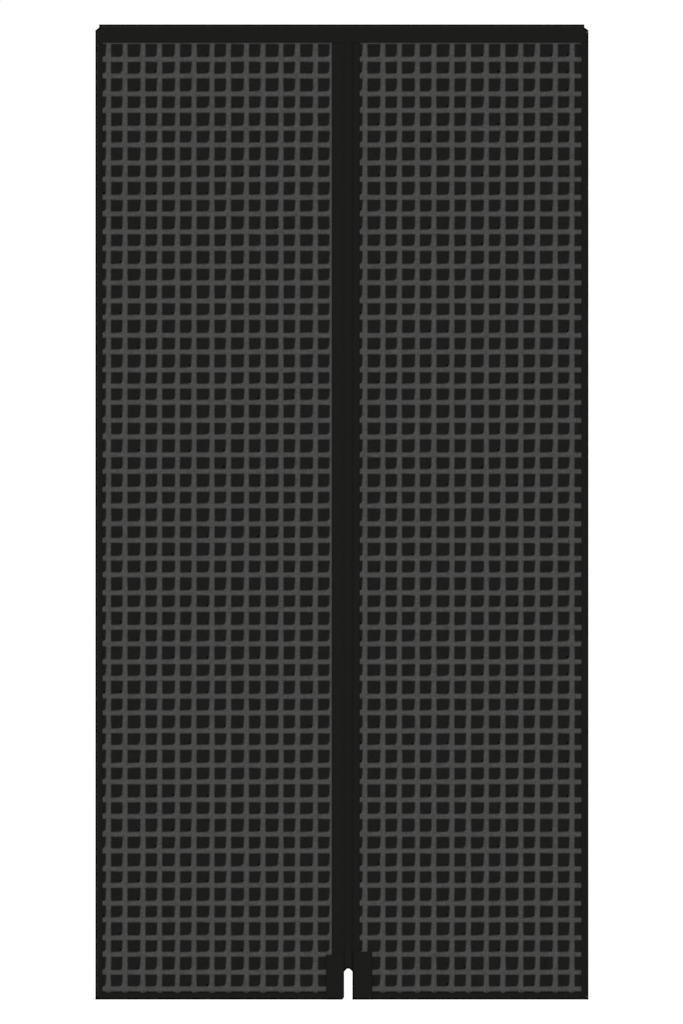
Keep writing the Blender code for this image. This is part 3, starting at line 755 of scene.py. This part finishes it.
class SCREEN_OT_nets(bpy.types.Operator):
    """Hang the fine black net of each wing"""

    bl_idname = "screen.nets"
    bl_label = "Nets"

    def execute(self, context):
        sizes = context.scene.screen_sizes
        for side in SIDES:
            low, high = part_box(f"{side}_mesh_panel")
            bm = upright_grid(28, 112, (low.x, low.z), (high.x, high.z), NET_Y)
            window = net_window(side)
            for vert in bm.verts:
                vert.co.y += net_ripple(vert.co.x, vert.co.z, window, sizes)
            piece = finish_piece(f"{side}_net", bm, "fine_black_net", [f"{side}_mesh_panel"])
            thicken(piece, sizes.net_ply)
        return {"FINISHED"}


# How a square's corners stray, round and lean, as shares of the sizes, at least and at most
CORNER_STRAY = 0.44
CORNER_ROUNDING = (0.7, 1.4)
SIDE_CORNER_ROUNDING = 1.5
LEANING_ROUNDING = (4.5, 9.0)
LEAN_ACROSS = (0.36, 1.0)
LEAN_UP = (0.1, 0.45)
# How far the left wing's level strands run on under the flap's edge
LEVEL_OVERRUN = 0.0056
# An upright strand's width at its tip over the hem, as a share of its own
TIP_SHARE = 0.25


def shape_hole(hole, sizes, draw):
    """Lean a square hole's lower right corner in, and round all four corners."""
    corners = [loop.vert for loop in hole.loops]
    middle = hole.calc_center_median()
    for corner in corners:
        right, low = corner.co.x > middle.x, corner.co.z < middle.z
        corner.co.x += draw.gauss(0, sizes.hole_drift * CORNER_STRAY)
        corner.co.z += draw.gauss(0, sizes.hole_drift * CORNER_STRAY)
        radius = sizes.hole_corner * draw.uniform(*CORNER_ROUNDING)
        if right and low:
            corner.co.x -= sizes.hole_lean * draw.uniform(*LEAN_ACROSS)
            corner.co.z += sizes.hole_lean * draw.uniform(*LEAN_UP)
            radius = sizes.hole_corner * draw.uniform(*LEANING_ROUNDING)
        elif right or low:
            radius *= SIDE_CORNER_ROUNDING
        rims = [edge for edge in corner.link_edges if edge in hole.edges]
        ends = [bmesh.utils.edge_split(rim, corner, radius / rim.calc_length())[1] for rim in rims]
        place = corner.co.copy()
        to_first, to_second = (end.co - place for end in ends)
        if right and low:
            for end, near, far in ((ends[0], to_first, to_second), (ends[1], to_second, to_first)):
                rim = next(edge for edge in corner.link_edges if end in edge.verts)
                _, half = bmesh.utils.edge_split(rim, corner, 0.5)
                half.co = place + near * (1 - math.sin(math.pi / 8)) + far * (1 - math.cos(math.pi / 8))
        corner.co = place + (to_first + to_second) * (1 - math.sqrt(0.5))


class SCREEN_OT_lattices(bpy.types.Operator):
    """Lay the grey lattice of strands through each wing's net"""

    bl_idname = "screen.lattices"
    bl_label = "Lattices"

    def execute(self, context):
        sizes = context.scene.screen_sizes
        # noise_vector takes its seed from the clock unless one is set
        noise.seed_set(sizes.seed)
        for side in SIDES:
            self.lattice(side, sizes)
        return {"FINISHED"}

    def lattice(self, side, sizes):
        """One wing's lattice, from a grid whose lines are the strands' middles."""
        draw = random.Random(sizes.seed + SIDES.index(side))
        window = net_window(side)
        left, right, foot, _ = window
        first_x, first_z = strand_start(side, sizes)
        columns = math.ceil((right - first_x) / sizes.column_pitch) + 2
        rows = math.ceil((first_z - foot) / sizes.row_pitch) + 3
        start_x, top = first_x - sizes.column_pitch, first_z + 2 * sizes.row_pitch
        bm = upright_grid(columns, rows, (start_x, top - rows * sizes.row_pitch),
                          (start_x + columns * sizes.column_pitch, top), 0)

        holes = bm.faces[:]
        bmesh.ops.inset_individual(bm, faces=holes, thickness=sizes.strand_width / 2, depth=0,
                                   use_even_offset=True)
        for hole in holes:
            shape_hole(hole, sizes, draw)
        bmesh.ops.delete(bm, geom=holes, context="FACES_ONLY")
        bmesh.ops.inset_region(bm, faces=bm.faces[:], thickness=sizes.strand_fade, depth=0,
                               use_boundary=True, use_even_offset=True)
        rim = bm.verts.layers.float.new("rim")
        for vert in bm.verts:
            vert[rim] = float(vert.is_boundary)
            row = round((first_z - vert.co.z) / sizes.row_pitch)
            vert.co.x += column_shift(side, self.column(vert, first_x, sizes), sizes)
            vert.co.z += row_shift(row, sizes)
        end = right + LEVEL_OVERRUN if side == "left" else right - CLEAR
        tip = foot + CLEAR
        for place, normal in (((left + CLEAR, 0, 0), (-1, 0, 0)), ((end, 0, 0), (1, 0, 0)),
                              ((0, 0, 0), (0, 0, 1)), ((0, 0, tip), (0, 0, -1))):
            cut_line(bm, place, normal, clear=True)
        for vert in bm.verts:
            if abs(vert.co.z - tip) < SAME:
                column = self.column(vert, first_x, sizes)
                line = first_x + column * sizes.column_pitch + column_shift(side, column, sizes)
                vert.co.x = line + (vert.co.x - line) * TIP_SHARE
                vert[rim] = 1.0
        bmesh.ops.solidify(bm, geom=bm.faces[:], thickness=sizes.strand_depth)
        middle = sum(vert.co.y for vert in bm.verts) / len(bm.verts)
        for vert in bm.verts:
            drift = noise.noise_vector(Vector((vert.co.x * 60, sizes.seed, vert.co.z * 60)))
            vert.co.x += drift.x * sizes.hole_drift
            vert.co.z += drift.z * sizes.hole_drift
            half = (vert.co.y - middle) * (1 - (1 - sizes.rim_depth) * vert[rim])
            vert.co.y = NET_Y + half + net_ripple(vert.co.x, vert.co.z, window, sizes)
        finish_piece(f"{side}_lattice", bm, "grey_strand")

    def column(self, vert, first_x, sizes):
        """The number of the upright strand that a vertex is nearest to."""
        return round((vert.co.x - first_x) / sizes.column_pitch)


class SCREEN_OT_header(bpy.types.Operator):
    """Fold the heading tape and cut its corners"""

    bl_idname = "screen.header"
    bl_label = "Header"

    def execute(self, context):
        sizes = context.scene.screen_sizes
        front = HEADER_LOW.y + sizes.header_ply / 2
        back = HEADER_HIGH.y - sizes.header_ply / 2
        inset, foot = sizes.fold_inset, HEADER_FOOT - sizes.header_drop
        high, fold = TOP - inset, (back - front) / 2
        start, end = LEFT + inset, RIGHT - inset
        bm = bmesh.new()
        wire(bm, [((start, front, foot), 0), ((start, front, high), fold),
                  ((start, back, high), fold), ((start, back, HEADER_FOOT), 0)])
        draw_out(bm, (end - start, 0, 0), steps=240)
        step, low = TOP - sizes.shoulder_step - inset, TOP - sizes.shoulder_height - inset
        for edge, way, width in ((start, 1, sizes.left_shoulder), (end, -1, sizes.right_shoulder)):
            shoulder, beyond, above_top = edge + way * width, edge - way * width, TOP + width
            corner = [(shoulder, step), (edge, low), (beyond, step)]
            above = [(beyond, step), (beyond, above_top), (shoulder, above_top), (shoulder, step)]
            for outline in (corner, above):
                carve(bm, outline if way > 0 else outline[::-1])
        pucker(bm, [(2, foot)], sizes, reach=0.006)
        piece = finish_piece("header_tape_cloth", bm, "twill_tape", ["header_tape"])
        thicken(piece, sizes.header_ply)
        return {"FINISHED"}


class SCREEN_OT_bindings(bpy.types.Operator):
    """Fold the tape round each wing's outer edge"""

    bl_idname = "screen.bindings"
    bl_label = "Side bindings"

    def execute(self, context):
        sizes = context.scene.screen_sizes
        inset = sizes.fold_inset
        for side in SIDES:
            low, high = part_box(f"{side}_side_binding")
            front, back = low.y + sizes.tape_ply / 2, high.y - sizes.tape_ply / 2
            fold = (back - front) / 2
            edge, mouth = (low.x + inset, high.x) if side == "left" else (high.x - inset, low.x)
            foot = low.z + inset
            bm = bmesh.new()
            wire(bm, [((mouth, front, foot), 0), ((edge, front, foot), fold),
                      ((edge, back, foot), fold), ((mouth, back, foot), 0)])
            draw_out(bm, (0, 0, high.z - foot), steps=440)
            pucker(bm, [(0, mouth)], sizes, reach=0.005, turn=SIDES.index(side))
            piece = finish_piece(f"{side}_binding_cloth", bm, "twill_tape",
                                 [f"{side}_side_binding"])
            thicken(piece, sizes.tape_ply)
        return {"FINISHED"}


class SCREEN_OT_hems(bpy.types.Operator):
    """Fold the tape round each wing's foot, with room for the bars at the back"""

    bl_idname = "screen.hems"
    bl_label = "Bottom hems"

    def execute(self, context):
        sizes = context.scene.screen_sizes
        ply, foot_bend, back_bend, slope_share = sizes.tape_ply, 0.0009, 0.0005, 1.4
        bar_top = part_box("left_hem_weight_1")[1].z + CLEAR
        for side in SIDES:
            low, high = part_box(f"{side}_bottom_hem")
            start, end = low.x - CLEAR, high.x + CLEAR
            front, swell = low.y + ply / 2, high.y - ply / 2
            back = BINDING_HIGH.y - ply / 2
            foot = low.z + ply / 2
            slope = (swell - back) * slope_share
            bm = bmesh.new()
            wire(bm, [
                ((start, front, high.z), 0), ((start, front, foot), foot_bend),
                ((start, swell, foot), foot_bend), ((start, swell, bar_top), back_bend),
                ((start, back, bar_top + slope), back_bend), ((start, back, high.z), 0)])
            draw_out(bm, (end - start, 0, 0), steps=120)
            pucker(bm, [(2, high.z)], sizes, reach=0.004, turn=4)
            piece = finish_piece(f"{side}_hem_cloth", bm, "twill_tape",
                                 [f"{side}_bottom_hem"])
            thicken(piece, ply)
        return {"FINISHED"}


class SCREEN_OT_closing_strips(bpy.types.Operator):
    """Fold the two tapes of the lapped seam round the nets' edges and the magnets"""

    bl_idname = "screen.closing_strips"
    bl_label = "Closing strips"

    def execute(self, context):
        sizes = context.scene.screen_sizes
        half = sizes.tape_ply / 2
        channel = (BINDING_HIGH.y - BINDING_LOW.y) / 2 - half
        foot, top = BOTTOM + sizes.fold_inset, HEADER_FOOT - CLEAR
        # Radii of the flap's bends, its brow, its folds and its tip, and how far its two slopes run
        bend, brow, fold, point = 0.0008, 0.0006, 0.0004, 0.0003
        tip_slope, back_slope = 0.0030, 0.0006
        for side, way, seam in (("left", -1, SLOT_LEFT), ("right", 1, SLOT_RIGHT)):
            low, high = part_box(f"{side}_closing_strip")
            mouth, tip = (low.x, SLOT_RIGHT) if side == "left" else (high.x, SLOT_LEFT)
            toward = math.copysign(1, tip - mouth)
            near, far = NET_Y + way * channel, NET_Y - way * channel
            outer = (low.y if way < 0 else high.y) - way * half
            lap = NET_Y + way * (CLEAR / 2 + half)
            rise = abs(outer - near)
            bm = bmesh.new()
            wire(bm, [
                ((mouth, near, foot), 0),
                ((seam, near, foot), bend),
                ((seam + toward * rise, outer, foot), bend),
                ((tip - toward * tip_slope, outer, foot), brow),
                ((tip, near, foot), fold),
                ((tip, lap, foot), point),
                ((seam, lap, foot), fold),
                ((seam - toward * back_slope, far, foot), fold),
                ((mouth, far, foot), 0)])
            draw_out(bm, (0, 0, top - foot), steps=440)
            carve(bm, slot_outline(sizes))
            if side == "left":
                carve(bm, foot_corner_outline(sizes))
            self.raise_tab(bm, lap, sorted((seam, tip)), top, high.z)
            self.emboss_magnets(bm, side, way, outer)
            pucker(bm, [(0, mouth), (0, seam)], sizes, reach=0.004, turn=6)
            piece = finish_piece(f"{side}_seam_cloth", bm, "twill_tape",
                                 [f"{side}_closing_strip"])
            thicken(piece, sizes.tape_ply)
        return {"FINISHED"}

    def raise_tab(self, bm, lap, span, top, tab_top):
        """Run the flap's inner ply up into the header."""
        start, end = span
        rim = [edge for edge in bm.edges if edge.is_boundary and all(
            abs(vert.co.y - lap) < SAME and abs(vert.co.z - top) < SAME
            and start - SAME <= vert.co.x <= end + SAME for vert in edge.verts)]
        pull(bm, bmesh.ops.extrude_edge_only(bm, edges=rim), (0, 0, tab_top - top))

    def emboss_magnets(self, bm, side, way, outer):
        """Let each magnet show as a faint swelling of the flap's outer ply."""
        swell, soft, same_ply, reach = 0.00018, 0.004, 1e-4, 0.03
        for low, high in magnet_boxes(side):
            for vert in bm.verts:
                if abs(vert.co.y - outer) > same_ply or abs(vert.co.z - (low.z + high.z) / 2) > reach:
                    continue
                away = max(low.z - vert.co.z, vert.co.z - high.z, low.x - vert.co.x, vert.co.x - high.x, 0)
                vert.co.y += way * swell * max(1 - away / soft, 0)


class SCREEN_OT_corner_patches(bpy.types.Operator):
    """Sew the squares at the inner foot of each wing, with their edges turned under"""

    bl_idname = "screen.corner_patches"
    bl_label = "Corner patches"

    def execute(self, context):
        sizes = context.scene.screen_sizes
        half, inset, edge_radius = sizes.patch_ply / 2, sizes.fold_inset, 0.0008
        for side in SIDES:
            low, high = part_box(f"{side}_corner_patch")
            start = low.x + (half if side == "left" else inset)
            end = high.x - half
            foot, top = low.z + inset, high.z - half
            front, back = low.y + half, high.y - half
            bm = upright_grid(16, 40, (start, foot), (end, top), front)
            if side == "left":
                place = Vector((SLOT_LEFT - sizes.foot_chamfer, 0, BOTTOM + inset))
                cut_line(bm, place, Vector((1, 0, -1)), clear=True)
            rim = [edge for edge in bm.edges if edge.is_boundary]
            pull(bm, bmesh.ops.extrude_edge_only(bm, edges=rim), (0, back - front, 0))
            round_edges(bm, [edge for edge in rim if edge.is_valid], edge_radius, segments=3)
            piece = finish_piece(f"{side}_patch_cloth", bm, "twill_tape",
                                 [f"{side}_corner_patch"])
            thicken(piece, sizes.patch_ply)
        return {"FINISHED"}


class SCREEN_OT_edge_cords(bpy.types.Operator):
    """Wind the black cord round every outer edge, the foot slot and its arch"""

    bl_idname = "screen.edge_cords"
    bl_label = "Edge cords"

    def execute(self, context):
        sizes = context.scene.screen_sizes
        cut, step, slant = sizes.foot_chamfer, TOP - sizes.shoulder_step, TOP - sizes.shoulder_height
        left_shoulder, right_shoulder = LEFT + sizes.left_shoulder, RIGHT - sizes.right_shoulder
        broad, thin = sizes.cord_width, sizes.thin_cord_width
        left, right = LEFT - sizes.side_proud, RIGHT + sizes.side_proud
        slot_left, slot_right = SLOT_LEFT + sizes.slot_proud, SLOT_RIGHT - sizes.slot_proud
        top, foot = TOP + sizes.end_proud, BOTTOM - sizes.end_proud
        header_foot, nick = HEADER_FOOT - sizes.header_drop, BOTTOM + cut
        arch = slot_outline(sizes)[1:5][::-1]
        patch_left, patch_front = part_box("left_corner_patch")[0].xy
        patch_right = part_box("right_corner_patch")[1].x
        flap_front, flap_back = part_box("left_closing_strip")[0].y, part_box("right_closing_strip")[1].y
        hem_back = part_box("left_bottom_hem")[1].y

        # How far the cords stand in front of and behind the cloth that they wrap
        over, patch_over, hem_over, arch_over = 0.0010, 0.0016, 0.00025, 0.0005
        header = (HEADER_LOW.y - over, HEADER_HIGH.y + over)
        wing = (BINDING_LOW.y - over, BINDING_HIGH.y + over)
        corner = (patch_front - patch_over, hem_back + hem_over)
        left_arch = (flap_front - arch_over, NET_Y - CLEAR / 2)
        right_arch = (NET_Y + CLEAR / 2, flap_back + arch_over)
        for name, material, width, reach, outline in (
            ("header_cord", "edge_cord", broad, header, [
                (left, header_foot), (left, slant), (left_shoulder, step), (left_shoulder, top),
                (right_shoulder, top), (right_shoulder, step), (right, slant)]),
            ("header_right_cord", "edge_cord", thin, header, [(right, slant), (right, header_foot)]),
            ("left_wing_cord", "edge_cord", broad, wing, [
                (patch_left, foot), (left, foot), (left, HEADER_FOOT)]),
            ("right_wing_cord", "edge_cord", thin, wing, [(right, HEADER_FOOT), (right, foot)]),
            ("right_foot_cord", "edge_cord", broad, wing, [(right, foot), (patch_right, foot)]),
            ("left_foot_cord", "edge_cord", broad, corner, [
                (slot_left, nick), (SLOT_LEFT - cut, foot), (patch_left, foot)]),
            ("right_slot_cord", "edge_cord", broad, corner, [
                (patch_right, foot), (slot_right, foot), (slot_right, SLOT_SHOULDER)]),
            ("left_slot_binding", "twill_tape", thin, corner, [
                (slot_left, SLOT_SHOULDER), (slot_left, nick)]),
            ("left_arch_cord", "edge_cord", broad, left_arch, arch),
            ("right_arch_cord", "edge_cord", broad, right_arch, arch),
        ):
            bm = bmesh.new()
            swept_cord(bm, outline, width, *reach)
            finish_piece(name, bm, material)
        return {"FINISHED"}


# How far knots stray, as shares of their places' sizes, and how far their draws lie from the lattice's
KNOT_ACROSS_STRAY = (0.95, 1.15)
KNOT_ABOVE_STRAY = (0.95, 1.18)
KNOT_SEED_STEP = 20


class SCREEN_OT_knots(bpy.types.Operator):
    """Tie the small black knots in the net's squares"""

    bl_idname = "screen.knots"
    bl_label = "Knots"

    def execute(self, context):
        sizes = context.scene.screen_sizes
        for side in SIDES:
            draw = random.Random(sizes.seed + KNOT_SEED_STEP + SIDES.index(side))
            left, right, foot, top = window = net_window(side)
            first_x, first_z = strand_start(side, sizes)
            places = {1.0: [], sizes.small_knot: []}
            columns = int((right - first_x) / sizes.column_pitch) + 1
            rows = int((first_z - foot) / sizes.row_pitch) + 1
            for row in range(rows):
                for column in range(columns):
                    x = first_x + column * sizes.column_pitch + column_shift(side, column, sizes)
                    z = first_z - row * sizes.row_pitch + row_shift(row, sizes)
                    x -= sizes.knot_across * draw.uniform(*KNOT_ACROSS_STRAY)
                    z += sizes.knot_above * draw.uniform(*KNOT_ABOVE_STRAY)
                    if draw.random() < sizes.knot_share and left < x < right and foot < z < top:
                        y = NET_Y - sizes.net_ply / 2 + net_ripple(x, z, window, sizes)
                        full = draw.random() < sizes.big_knot_share
                        places[1.0 if full else sizes.small_knot].append(Vector((x, y, z)))
            bm = bmesh.new()
            for scale, spots in places.items():
                stamp(bm, stitch_shape(sizes.knot_height * scale, sizes.knot_width * scale,
                                       sizes.strand_depth * KNOT_RISE, "Z"), spots)
            knots = finish_piece(f"{side}_net_knots", bm, "edge_cord")
        return {"FINISHED"}


class SCREEN_OT_stitching(bpy.types.Operator):
    """Sew the tapes down with rows of single stitches, front and back"""

    bl_idname = "screen.stitching"
    bl_label = "Stitching"

    def execute(self, context):
        sizes = context.scene.screen_sizes
        inset, margin, below_slant = sizes.edge_stitch_inset, sizes.row_margin, 0.002
        step = sizes.right_shoulder
        front, back = HEADER_LOW.y, HEADER_HIGH.y
        left, right, top = LEFT + inset, RIGHT - inset, TOP - inset
        low, shoulder = HEADER_FOOT - sizes.header_drop + margin, TOP - sizes.shoulder_height - below_slant
        # The header's front rows along its top and left edges are in the lighter thread, a painted
        # highlight beside the cord.
        self.sew("header_edge_stitches", "edge_thread", sizes, [
            ((left + step, front, top), (right - step, front, top)),
            ((left, front, low + margin), (left, front, shoulder))])
        self.sew("header_stitches", "sewing_thread", sizes, [
            ((left, front, low), (right, front, low)),
            ((left, back, HEADER_FOOT + margin), (right, back, HEADER_FOOT + margin)),
            ((left + step, back, top), (right - step, back, top)),
            ((right, front, low + margin), (right, front, shoulder))])
        for side in SIDES:
            self.sew_wing(side, sizes, inset, margin)
            self.sew_seam(side, sizes, inset, margin)
            self.sew_patch(side, sizes, inset, margin)
        return {"FINISHED"}

    def sew(self, name, material, sizes, rows):
        """Sew rows of (start, end) as one piece."""
        # The lighter thread is a painted highlight: its stitches are wider and closer, so they read as one
        # lit line beside the cord.
        close = material == "edge_thread"
        width = sizes.edge_stitch_width if close else sizes.stitch_width
        fill = sizes.edge_stitch_fill if close else sizes.stitch_fill
        bm = bmesh.new()
        for start, end in rows:
            stitch_row(bm, start, end, width, fill, sizes)
        finish_piece(name, bm, material)

    def sew_wing(self, side, sizes, inset, margin):
        """The rows along one wing's binding and hem."""
        low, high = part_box(f"{side}_side_binding")
        hem_low, hem_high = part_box(f"{side}_bottom_hem")
        # Only the left wing's outer row is in the lighter thread, a painted highlight on the side the light
        # comes from.
        if side == "left":
            outer, inner, thread = LEFT + inset, high.x - margin, "edge_thread"
        else:
            outer, inner, thread = RIGHT - inset, low.x + margin, "sewing_thread"
        foot, hem_top = BOTTOM + inset, hem_high.z - margin
        self.sew(f"{side}_edge_stitches", thread, sizes, [
            ((outer, low.y, foot + margin), (outer, low.y, high.z))])
        rows = []
        for y in (low.y, high.y):
            rows.append(((inner, y, foot + margin), (inner, y, high.z)))
            rows.append(((hem_low.x, y, hem_top), (hem_high.x, y, hem_top)))
        rows.append(((hem_low.x, low.y, foot), (hem_high.x, low.y, foot)))
        self.sew(f"{side}_binding_stitches", "sewing_thread", sizes, rows)

    def sew_seam(self, side, sizes, inset, margin):
        """The rows along one closing strip, and round its magnets' pockets."""
        low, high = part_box(f"{side}_closing_strip")
        below_header, above_slot = 0.001, 0.014
        top = HEADER_FOOT - sizes.header_drop - below_header
        patch_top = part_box(f"{side}_corner_patch")[1].z + margin
        if side == "left":
            mouth, web, tip, face = low.x + margin, SLOT_LEFT - margin, SLOT_RIGHT - margin, low.y
        else:
            mouth, web, tip, face = high.x - margin, SLOT_RIGHT + margin, SLOT_LEFT + margin, high.y
        rows = []
        for x in (mouth, web):
            for y, foot in ((BINDING_LOW.y, patch_top), (BINDING_HIGH.y, BOTTOM + inset)):
                rows.append(((x, y, foot), (x, y, top)))
        rows.append(((tip, face, SLOT_SHOULDER + above_slot), (tip, face, top)))
        for magnet_low, magnet_high in magnet_boxes(side):
            for z in (magnet_low.z - margin, magnet_high.z + margin):
                rows.append(((magnet_low.x, face, z), (magnet_high.x, face, z)))
        self.sew(f"{side}_seam_stitches", "sewing_thread", sizes, rows)

    def sew_patch(self, side, sizes, inset, margin):
        """The row round a corner patch."""
        low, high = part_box(f"{side}_corner_patch")
        left, right, foot, top = low.x + margin, high.x - margin, low.z + inset, high.z - margin
        self.sew(f"{side}_patch_stitches", "sewing_thread", sizes, [
            ((left, low.y, foot + inset), (left, low.y, top)),
            ((right, low.y, foot + inset), (right, low.y, top)),
            ((left, low.y, top), (right, low.y, top)),
            ((left + inset, low.y, foot), (right - inset, low.y, foot))])


class SCREEN_OT_fasteners(bpy.types.Operator):
    """Model the loop tape on the back and the hook tape that grips it"""

    bl_idname = "screen.fasteners"
    bl_label = "Hook and loop"

    def execute(self, context):
        for place in ("header", "left", "right"):
            self.strip(f"{place}_loop_strip", f"{place}_loop_tape", "loop_pile", "loop_tape", 1)
            self.strip(f"{place}_hook_strip", f"{place}_hook_tape", "hook_nylon", "hook_tape", -1)
        return {"FINISHED"}

    def strip(self, node, name, material, slot, way):
        """A ribbon with plain edges and a thicker field of loops or hooks on the side that faces way."""
        base_share, edge_share, rounding = 0.4, 0.12, 0.13
        low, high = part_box(node)
        size = high - low
        base = size.y * base_share
        bm = bmesh.new()
        bmesh.ops.create_cube(bm, size=1.0)
        bmesh.ops.scale(bm, vec=(size.x, base, size.z), verts=bm.verts)
        start = low.y + base / 2 if way > 0 else high.y - base / 2
        middle = Vector(((low.x + high.x) / 2, start, (low.z + high.z) / 2))
        bmesh.ops.translate(bm, vec=middle, verts=bm.verts)
        field = [face for face in bm.faces if face.normal.y * way > 0.5]
        bmesh.ops.inset_region(bm, faces=field, thickness=min(size.x, size.z) * edge_share)
        pull(bm, bmesh.ops.extrude_face_region(bm, geom=field), (0, way * (size.y - base), 0))
        bmesh.ops.delete(bm, geom=field, context="FACES_ONLY")
        round_edges(bm, bm.edges[:], size.y * rounding, segments=2)
        finish_piece(name, bm, material, [node])


# Each lamp's place and the width of its face
LAMPS = {
    "key": ((-1.8, -9.0, -0.9), 3.0),
    "fill": ((4.2, -7.5, -2.0), 4.0),
    "back": ((2.5, 8.0, 1.5), 4.0),
}
FLOOR_HALF = 60
WHITE = (1, 1, 1, 1)


class SCREEN_OT_stage(bpy.types.Operator):
    """Set the floor, lamps, world and camera"""

    bl_idname = "screen.stage"
    bl_label = "Stage"

    def execute(self, context):
        stage, colours = context.scene.screen_stage, context.scene.screen_colours
        self.floor(stage, colours)
        for name, (place, width) in LAMPS.items():
            self.lamp(f"{name}_lamp", place, getattr(stage, f"{name}_power"), width)
        self.world(context, stage)
        self.camera(context, stage)
        context.scene.view_settings.view_transform = "Standard"
        return {"FINISHED"}

    def floor(self, stage, colours):
        """A wide pale floor that is white to the camera and dimmer to the cloth."""
        tree, surface = new_material("pale_floor", {
            "Roughness": 1.0, "Specular IOR Level": 0.0, "Base Color": (*colours.floor, 1),
            "Emission Color": WHITE})
        seen = any_ray(tree, "Is Camera Ray", "Is Glossy Ray")
        glow = map_range(tree, seen, start=stage.floor_bounce, end=stage.floor_glow)
        feed(tree, surface["Emission Strength"], glow)
        bm = bmesh.new()
        bmesh.ops.create_grid(bm, x_segments=1, y_segments=1, size=FLOOR_HALF)
        bmesh.ops.translate(bm, vec=(0, 0, BOTTOM - stage.floor_gap), verts=bm.verts)
        floor = add_object("floor", mesh_from("floor", bm))
        floor.data.materials.append(bpy.data.materials["pale_floor"])

    def lamp(self, name, place, power, width):
        """A broad soft lamp that looks at the middle of the screen."""
        light = bpy.data.lights.new(name, "AREA")
        light.energy = power
        light.size = width
        lamp = add_object(name, light)
        lamp.location = place
        target = Vector((0, NET_Y, (TOP + BOTTOM) / 2))
        lamp.rotation_euler = (target - lamp.location).to_track_quat("-Z", "Y").to_euler()
        lamp.visible_camera = False

    def world(self, context, stage):
        """White to the camera and in reflections, and plain soft light on the cloth."""
        world = bpy.data.worlds.new("studio")
        context.scene.world = world
        world.use_nodes = True
        tree = world.node_tree
        background = tree.nodes["Background"].inputs
        background["Color"].default_value = WHITE
        seen = any_ray(tree, "Is Camera Ray", "Is Glossy Ray", "Is Transmission Ray")
        feed(tree, background["Strength"], map_range(tree, seen, start=stage.world_level, end=1.0))

    def camera(self, context, stage):
        """A long lens square on to the front, framed as the photograph."""
        lens = bpy.data.cameras.new("camera")
        lens.sensor_fit = "VERTICAL"
        lens.sensor_height = 36.0
        lens.lens = stage.lens
        lens.clip_end = 200.0
        camera = add_object("camera", lens)
        distance = stage.view_height * stage.lens / lens.sensor_height
        camera.location = (stage.view_x, BINDING_LOW.y - distance, stage.view_z)
        camera.rotation_euler = (math.pi / 2, 0, 0)
        context.scene.camera = camera


OPERATORS = (
    SCREEN_OT_finishes, SCREEN_OT_nets, SCREEN_OT_lattices, SCREEN_OT_header, SCREEN_OT_bindings,
    SCREEN_OT_hems, SCREEN_OT_closing_strips, SCREEN_OT_corner_patches, SCREEN_OT_edge_cords,
    SCREEN_OT_knots, SCREEN_OT_stitching, SCREEN_OT_fasteners, SCREEN_OT_stage,
)
# Where the scene keeps each group of properties
GROUPS = {"screen_sizes": ScreenSizes, "screen_colours": ScreenColours, "screen_stage": ScreenStage}


class SCREEN_PT_panel(bpy.types.Panel):
    """Lists the screen's sizes, colours and pieces"""

    bl_idname = "SCREEN_PT_panel"
    bl_label = "Insect Screen"
    bl_space_type = "VIEW_3D"
    bl_region_type = "UI"
    bl_category = "Screen"

    def draw(self, context):
        for kept in GROUPS:
            group, box = getattr(context.scene, kept), self.layout.box()
            for name in group.bl_rna.properties.keys():
                if name not in ("rna_type", "name"):
                    box.prop(group, name)
        for operator in OPERATORS:
            self.layout.operator(operator.bl_idname)


CLASSES = (*GROUPS.values(), *OPERATORS, SCREEN_PT_panel)


def register():
    for each in CLASSES:
        bpy.utils.register_class(each)
    for name, group in GROUPS.items():
        setattr(bpy.types.Scene, name, PointerProperty(type=group))


def unregister():
    for name in GROUPS:
        delattr(bpy.types.Scene, name)
    for each in reversed(CLASSES):
        bpy.utils.unregister_class(each)


def main():
    """Make every piece and the stage."""
    register()
    for operator in OPERATORS:
        area, _, name = operator.bl_idname.partition(".")
        getattr(getattr(bpy.ops, area), name)()


if __name__ == "__main__":
    main()
